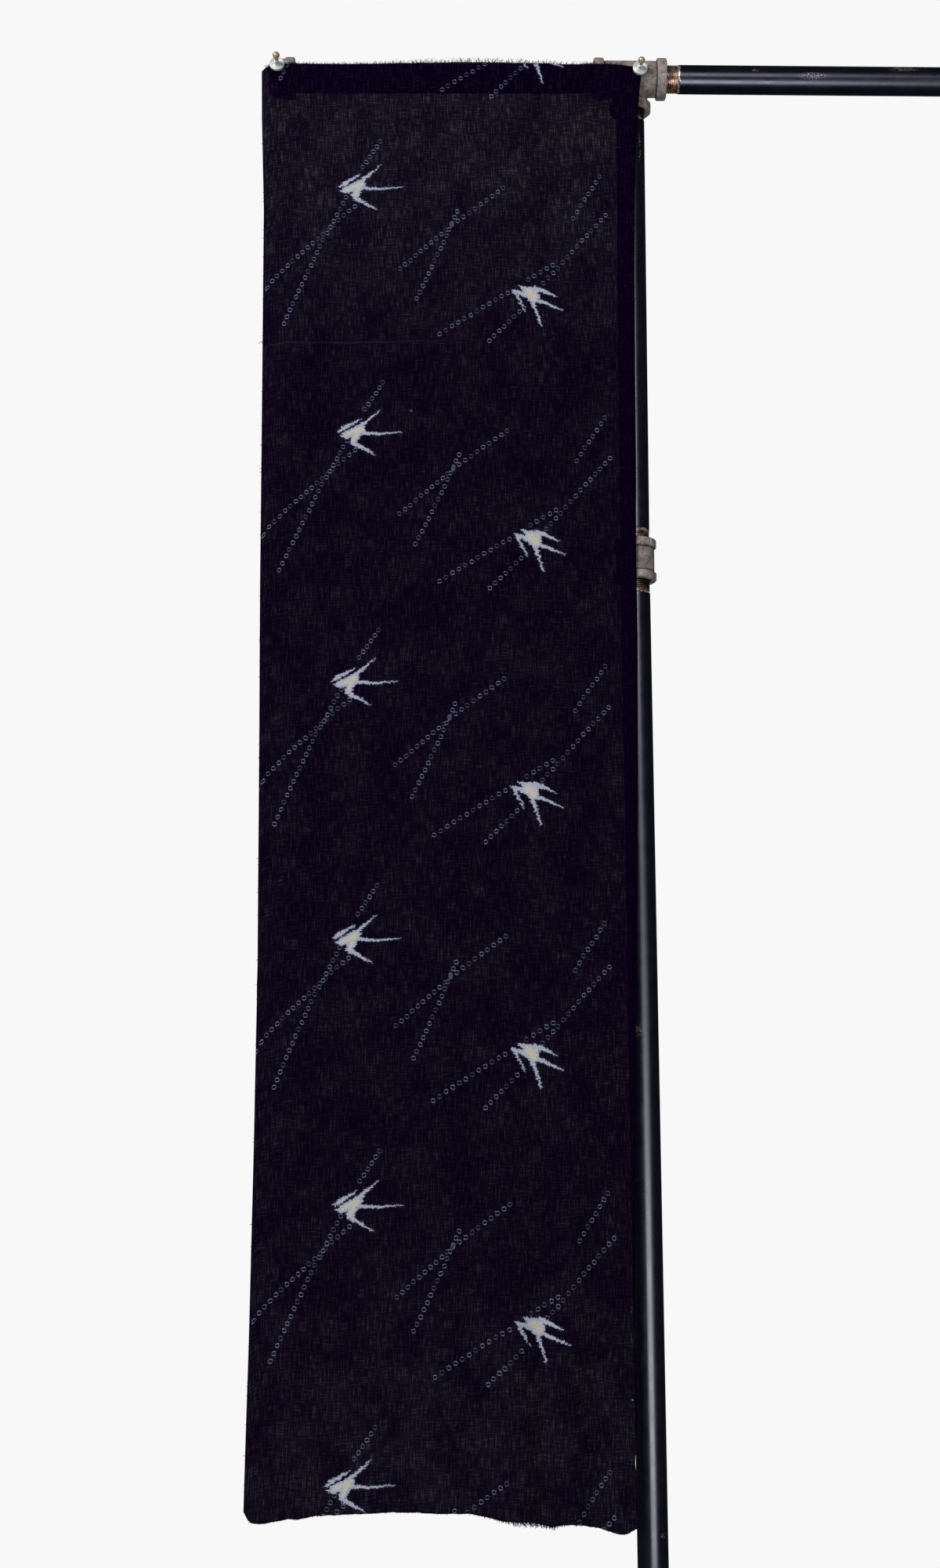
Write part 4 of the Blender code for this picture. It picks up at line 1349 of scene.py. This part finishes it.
def make_pipes():
    arms = []
    for side, label in ((-1, "left"), (1, "right")):
        out = TEE_REACH + BARE_AT_RUN - THREAD_LENGTH - PIVOT
        place = arm_place(side) @ Matrix.Translation((0.0, 0.0, out))
        oil_and_shade_reach = ((THREAD_LENGTH - BARE_AT_RUN, 0.0020), (THREAD_LENGTH - BARE_AT_RUN, 0.0020))
        arms.append(make_pipe(f"crossbar_{label}", f"bar_{label}", ARM_LENGTH, place, oil_and_shade_reach))
    top = BAR_Z - TEE_REACH - 0.0080 + THREAD_LENGTH
    foot = COUPLING_Z + COUPLING_LENGTH / 2 + 0.0079 - THREAD_LENGTH
    place = Matrix.Translation((COLUMN_X, 0.0, foot))
    posts = [make_pipe("upper_post", "post_upper", top - foot, place,
                       ((0.0121, 0.0034), (0.0170, 0.0060)))]
    lean = Matrix.Translation((0.0, 0.0, PIPE_FOOT)) @ Matrix.Rotation(-LOWER_LEAN, 4, "Y")
    posts.append(make_pipe("lower_post", "post_lower", LOWER_LENGTH, lean,
                           ((0.0090, 0.0030), (0.0150, 0.0060))))
    return arms, posts


def light_only(lamps, pieces, label):
    lit = bpy.data.collections.new(label)
    for piece in pieces:
        lit.objects.link(piece)
    for lamp in lamps:
        lamp.light_linking.receiver_collection = lit


arms, posts = make_pipes()
light_only([ceiling_lamp], [floor], "lit by the ceiling lamp")
light_only(bar_lamps, arms, "lit by the bar lamps")
light_only(post_lamps, posts, "lit by the post lamps")

# %% [markdown]
# Each pin is a disc magnet with a waisted knob. The disc is turned zinc, with faint rings
# from the lathe. Real grooves on a disc 14 mm wide are cheap, so they are in its outline, and
# the material has no bump for them. The knob is polished steel with a gilt ball, which an
# attribute marks.

# %% Pins
PIN_DISC_R = 0.0069
PIN_DISC = 0.0030
# between two parts that only touch
SEAT_GAP = 0.0003
# label, x from the post, tilt, distance from the iron's axis, height of that axis
PINS = (
    ("left", -0.3315, math.radians(8.7), HANG_R + 0.0008, bar_axis_z(-0.3315)),
    ("right", 0.0083, math.radians(4.6), TEE_TOUCH_R + 0.0008, 0.0),
)


def disc_outline():
    edge = 0.0005
    face = [(0.0, PIN_DISC)]
    for radius in (0.0034, 0.0044, 0.0054):
        face += [(radius - 0.00018, PIN_DISC), (radius, PIN_DISC - 0.00009),
                 (radius + 0.00018, PIN_DISC)]
    rim = [(PIN_DISC_R - edge, PIN_DISC), (PIN_DISC_R - edge * 0.3, PIN_DISC - edge * 0.3),
           (PIN_DISC_R, PIN_DISC - edge), (PIN_DISC_R, edge), (PIN_DISC_R - edge, 0.0), (0.0, 0.0)]
    return face + rim


def knob_outline():
    ball_r, reach = 0.0033, 0.0115
    ball = []
    for number in range(0, 13):
        angle = math.radians(12.5 * number)
        ball.append((ball_r * math.sin(angle), reach + ball_r * math.cos(angle)))
    neck = reach - ball_r
    waist = [(0.00195, neck * 0.86), (0.00192, neck * 0.66), (0.00200, neck * 0.48),
             (0.00226, neck * 0.30), (0.00265, neck * 0.16), (0.0030, neck * 0.07), (0.0030, 0.0),
             (0.0, 0.0)]
    return ball + waist, neck


def pin_place(x, tilt, seat, axis_z):
    spot = (COLUMN_X + x, -seat * math.cos(tilt), BAR_Z + axis_z + seat * math.sin(tilt))
    return Matrix.Translation(spot) @ Matrix.Rotation(math.radians(90.0) - tilt, 4, "X")


def make_zinc():
    material, tree, shader = new_material("turned zinc", Metallic=0.30, Specular_IOR_Level=0.5)
    cloudy = speckle(tree, place_on_object(tree), 420.0, 4.0)
    share = ramp(tree, cloudy, 0.3, 0.7)
    tone = blend(tree, share, (0.58, 0.61, 0.58, 1.0), (0.84, 0.86, 0.83, 1.0))
    feed(tree, shader.inputs, Base_Color=tone, Roughness=ramp(tree, cloudy, 0.3, 0.7, 0.42, 0.30),
         Normal=relief(tree, cloudy, 0.25, 0.0001))
    return material


def make_polish():
    material, tree, shader = new_material("polished knob", Metallic=0.60)
    cloudy = speckle(tree, place_on_object(tree), 300.0, 3.0)
    gilt = painted(tree, "gilt")
    warm = maths(tree, "MULTIPLY", gilt, ramp(tree, cloudy, 0.30, 0.60, 0.5, 1.0))
    tone = blend(tree, warm, (0.82, 0.83, 0.88, 1.0), (0.78, 0.58, 0.36, 1.0))
    feed(tree, shader.inputs, Base_Color=tone, Roughness=ramp(tree, cloudy, 0.3, 0.7, 0.20, 0.10))
    return material


def make_pins():
    zinc, polish = make_zinc(), make_polish()
    discs = []
    for label, x, tilt, seat, axis_z in PINS:
        place = pin_place(x, tilt, seat, axis_z)
        mesh = turned(f"magnet_{label}", disc_outline(), place, 64, 20.0)
        discs.append(hand_over(mesh, zinc, "zinc", f"pin_{label}_disc"))
        bm = bmesh.new()
        gilt = bm.verts.layers.float.new("gilt")
        outline, neck = knob_outline()
        for vert in turn(bm, outline, Matrix(), 48):
            vert[gilt] = 1.0 if vert.co.z > neck else 0.0
        on_disc = place @ Matrix.Translation((0.0, 0.0, PIN_DISC + SEAT_GAP))
        bmesh.ops.transform(bm, matrix=on_disc, verts=bm.verts)
        mesh = into_mesh(bm, f"knob_{label}", 50.0)
        hand_over(mesh, polish, "polished_knob", f"pin_{label}_knob")
    return discs


pin_discs = make_pins()

# %% [markdown]
# The foot lies below the photograph, so it is finished as a plain pipe stand would be: a
# floor flange with four screws on a flat steel plate. The plate's own solid is already right
# and keeps its mesh, with a better finish in its slots.

# %% Flange and screws
PLATE_THICK = 0.010
FLANGE_SEAT = PLATE_THICK + SEAT_GAP
FLANGE_RIM = 0.0052
FLANGE_R = 0.0445
FLANGE_TOP = 0.0256
SCREW_CIRCLE_R = 0.0330
SCREW_HEAD_R = 0.0052
SCREW_HEAD = 0.0028


def make_flange():
    rim = FLANGE_SEAT + FLANGE_RIM
    hub = mouth(FLANGE_TOP, FLANGE_TOP - 0.0133) + [(BAND_R - CHAMFER, FLANGE_TOP)]
    side = [(BAND_R, FLANGE_TOP - CHAMFER), (BAND_R + 0.0002, rim + 0.0040),
            (BAND_R + 0.0009, rim + 0.0018), (BAND_R + 0.0026, rim),
            (FLANGE_R - 0.0010, rim - 0.0006), (FLANGE_R - 0.0003, rim - 0.0009),
            (FLANGE_R, rim - 0.0018), (FLANGE_R, FLANGE_SEAT), (0.0, FLANGE_SEAT)]
    mesh = turned("flange_fitting", hub + side, Matrix(), 96)
    hand_over(mesh, cast_iron, "cast_fitting", "floor_flange")


def make_screw(number, material):
    angle = math.radians(45.0 + 90.0 * (number - 1))
    spot = Matrix.Translation((SCREW_CIRCLE_R * math.cos(angle),
                               SCREW_CIRCLE_R * math.sin(angle), 0.0))
    seat = FLANGE_SEAT + FLANGE_RIM + SEAT_GAP
    dome = [(0.0, seat + SCREW_HEAD - 0.0008), (0.0011, seat + SCREW_HEAD - 0.0008),
            (0.0016, seat + SCREW_HEAD), (SCREW_HEAD_R * 0.62, seat + SCREW_HEAD * 0.92),
            (SCREW_HEAD_R * 0.86, seat + SCREW_HEAD * 0.68),
            (SCREW_HEAD_R, seat + SCREW_HEAD * 0.35),
            (SCREW_HEAD_R, seat), (0.0028, seat), (0.0028, PLATE_THICK - 0.0055),
            (0.0, PLATE_THICK - 0.0055)]
    mesh = turned(f"screw_{number}", dome, spot, 32)
    hand_over(mesh, material, "screw_steel", f"flange_screw_{number}")


make_flange()
screw_steel = mottled("blackened screw steel", 500.0, 3.0, (0.035, 0.035, 0.040, 1.0),
                      (0.14, 0.135, 0.13, 1.0), gloss=(0.50, 0.34), Metallic=0.8)
for screw_number in range(1, 5):
    make_screw(screw_number, screw_steel)

# %% [markdown]
# The plate is powder coated. That finish is a fine orange peel with a few scuffs, and both
# come from Object coordinates, since the plate keeps the loose triangles of its solid.

# %% Plate
def make_plate_finish():
    material, tree, shader = new_material("black powder coat", Specular_IOR_Level=0.45)
    place = place_on_object(tree)
    peel = speckle(tree, place, 900.0, 3.0, 0.55)
    scuff_place = vector_maths(tree, "MULTIPLY", place, (14.0, 60.0, 14.0))
    scuff = ramp(tree, speckle(tree, scuff_place, 1.0, 4.0, 0.6), 0.60, 0.74)
    tone = blend(tree, maths(tree, "MULTIPLY", scuff, 0.5), (0.011, 0.011, 0.013, 1.0),
                 (0.050, 0.050, 0.052, 1.0))
    feed(tree, shader.inputs, Base_Color=tone, Roughness=ramp(tree, peel, 0.3, 0.7, 0.44, 0.58),
         Normal=relief(tree, peel, 0.3, 0.0002))
    return material


plate_finish = make_plate_finish()
plate = bpy.data.objects["base_plate"]
for slot in plate.material_slots:
    slot.material = plate_finish
print("plate:", len(plate.material_slots), "slot with", plate_finish.name)
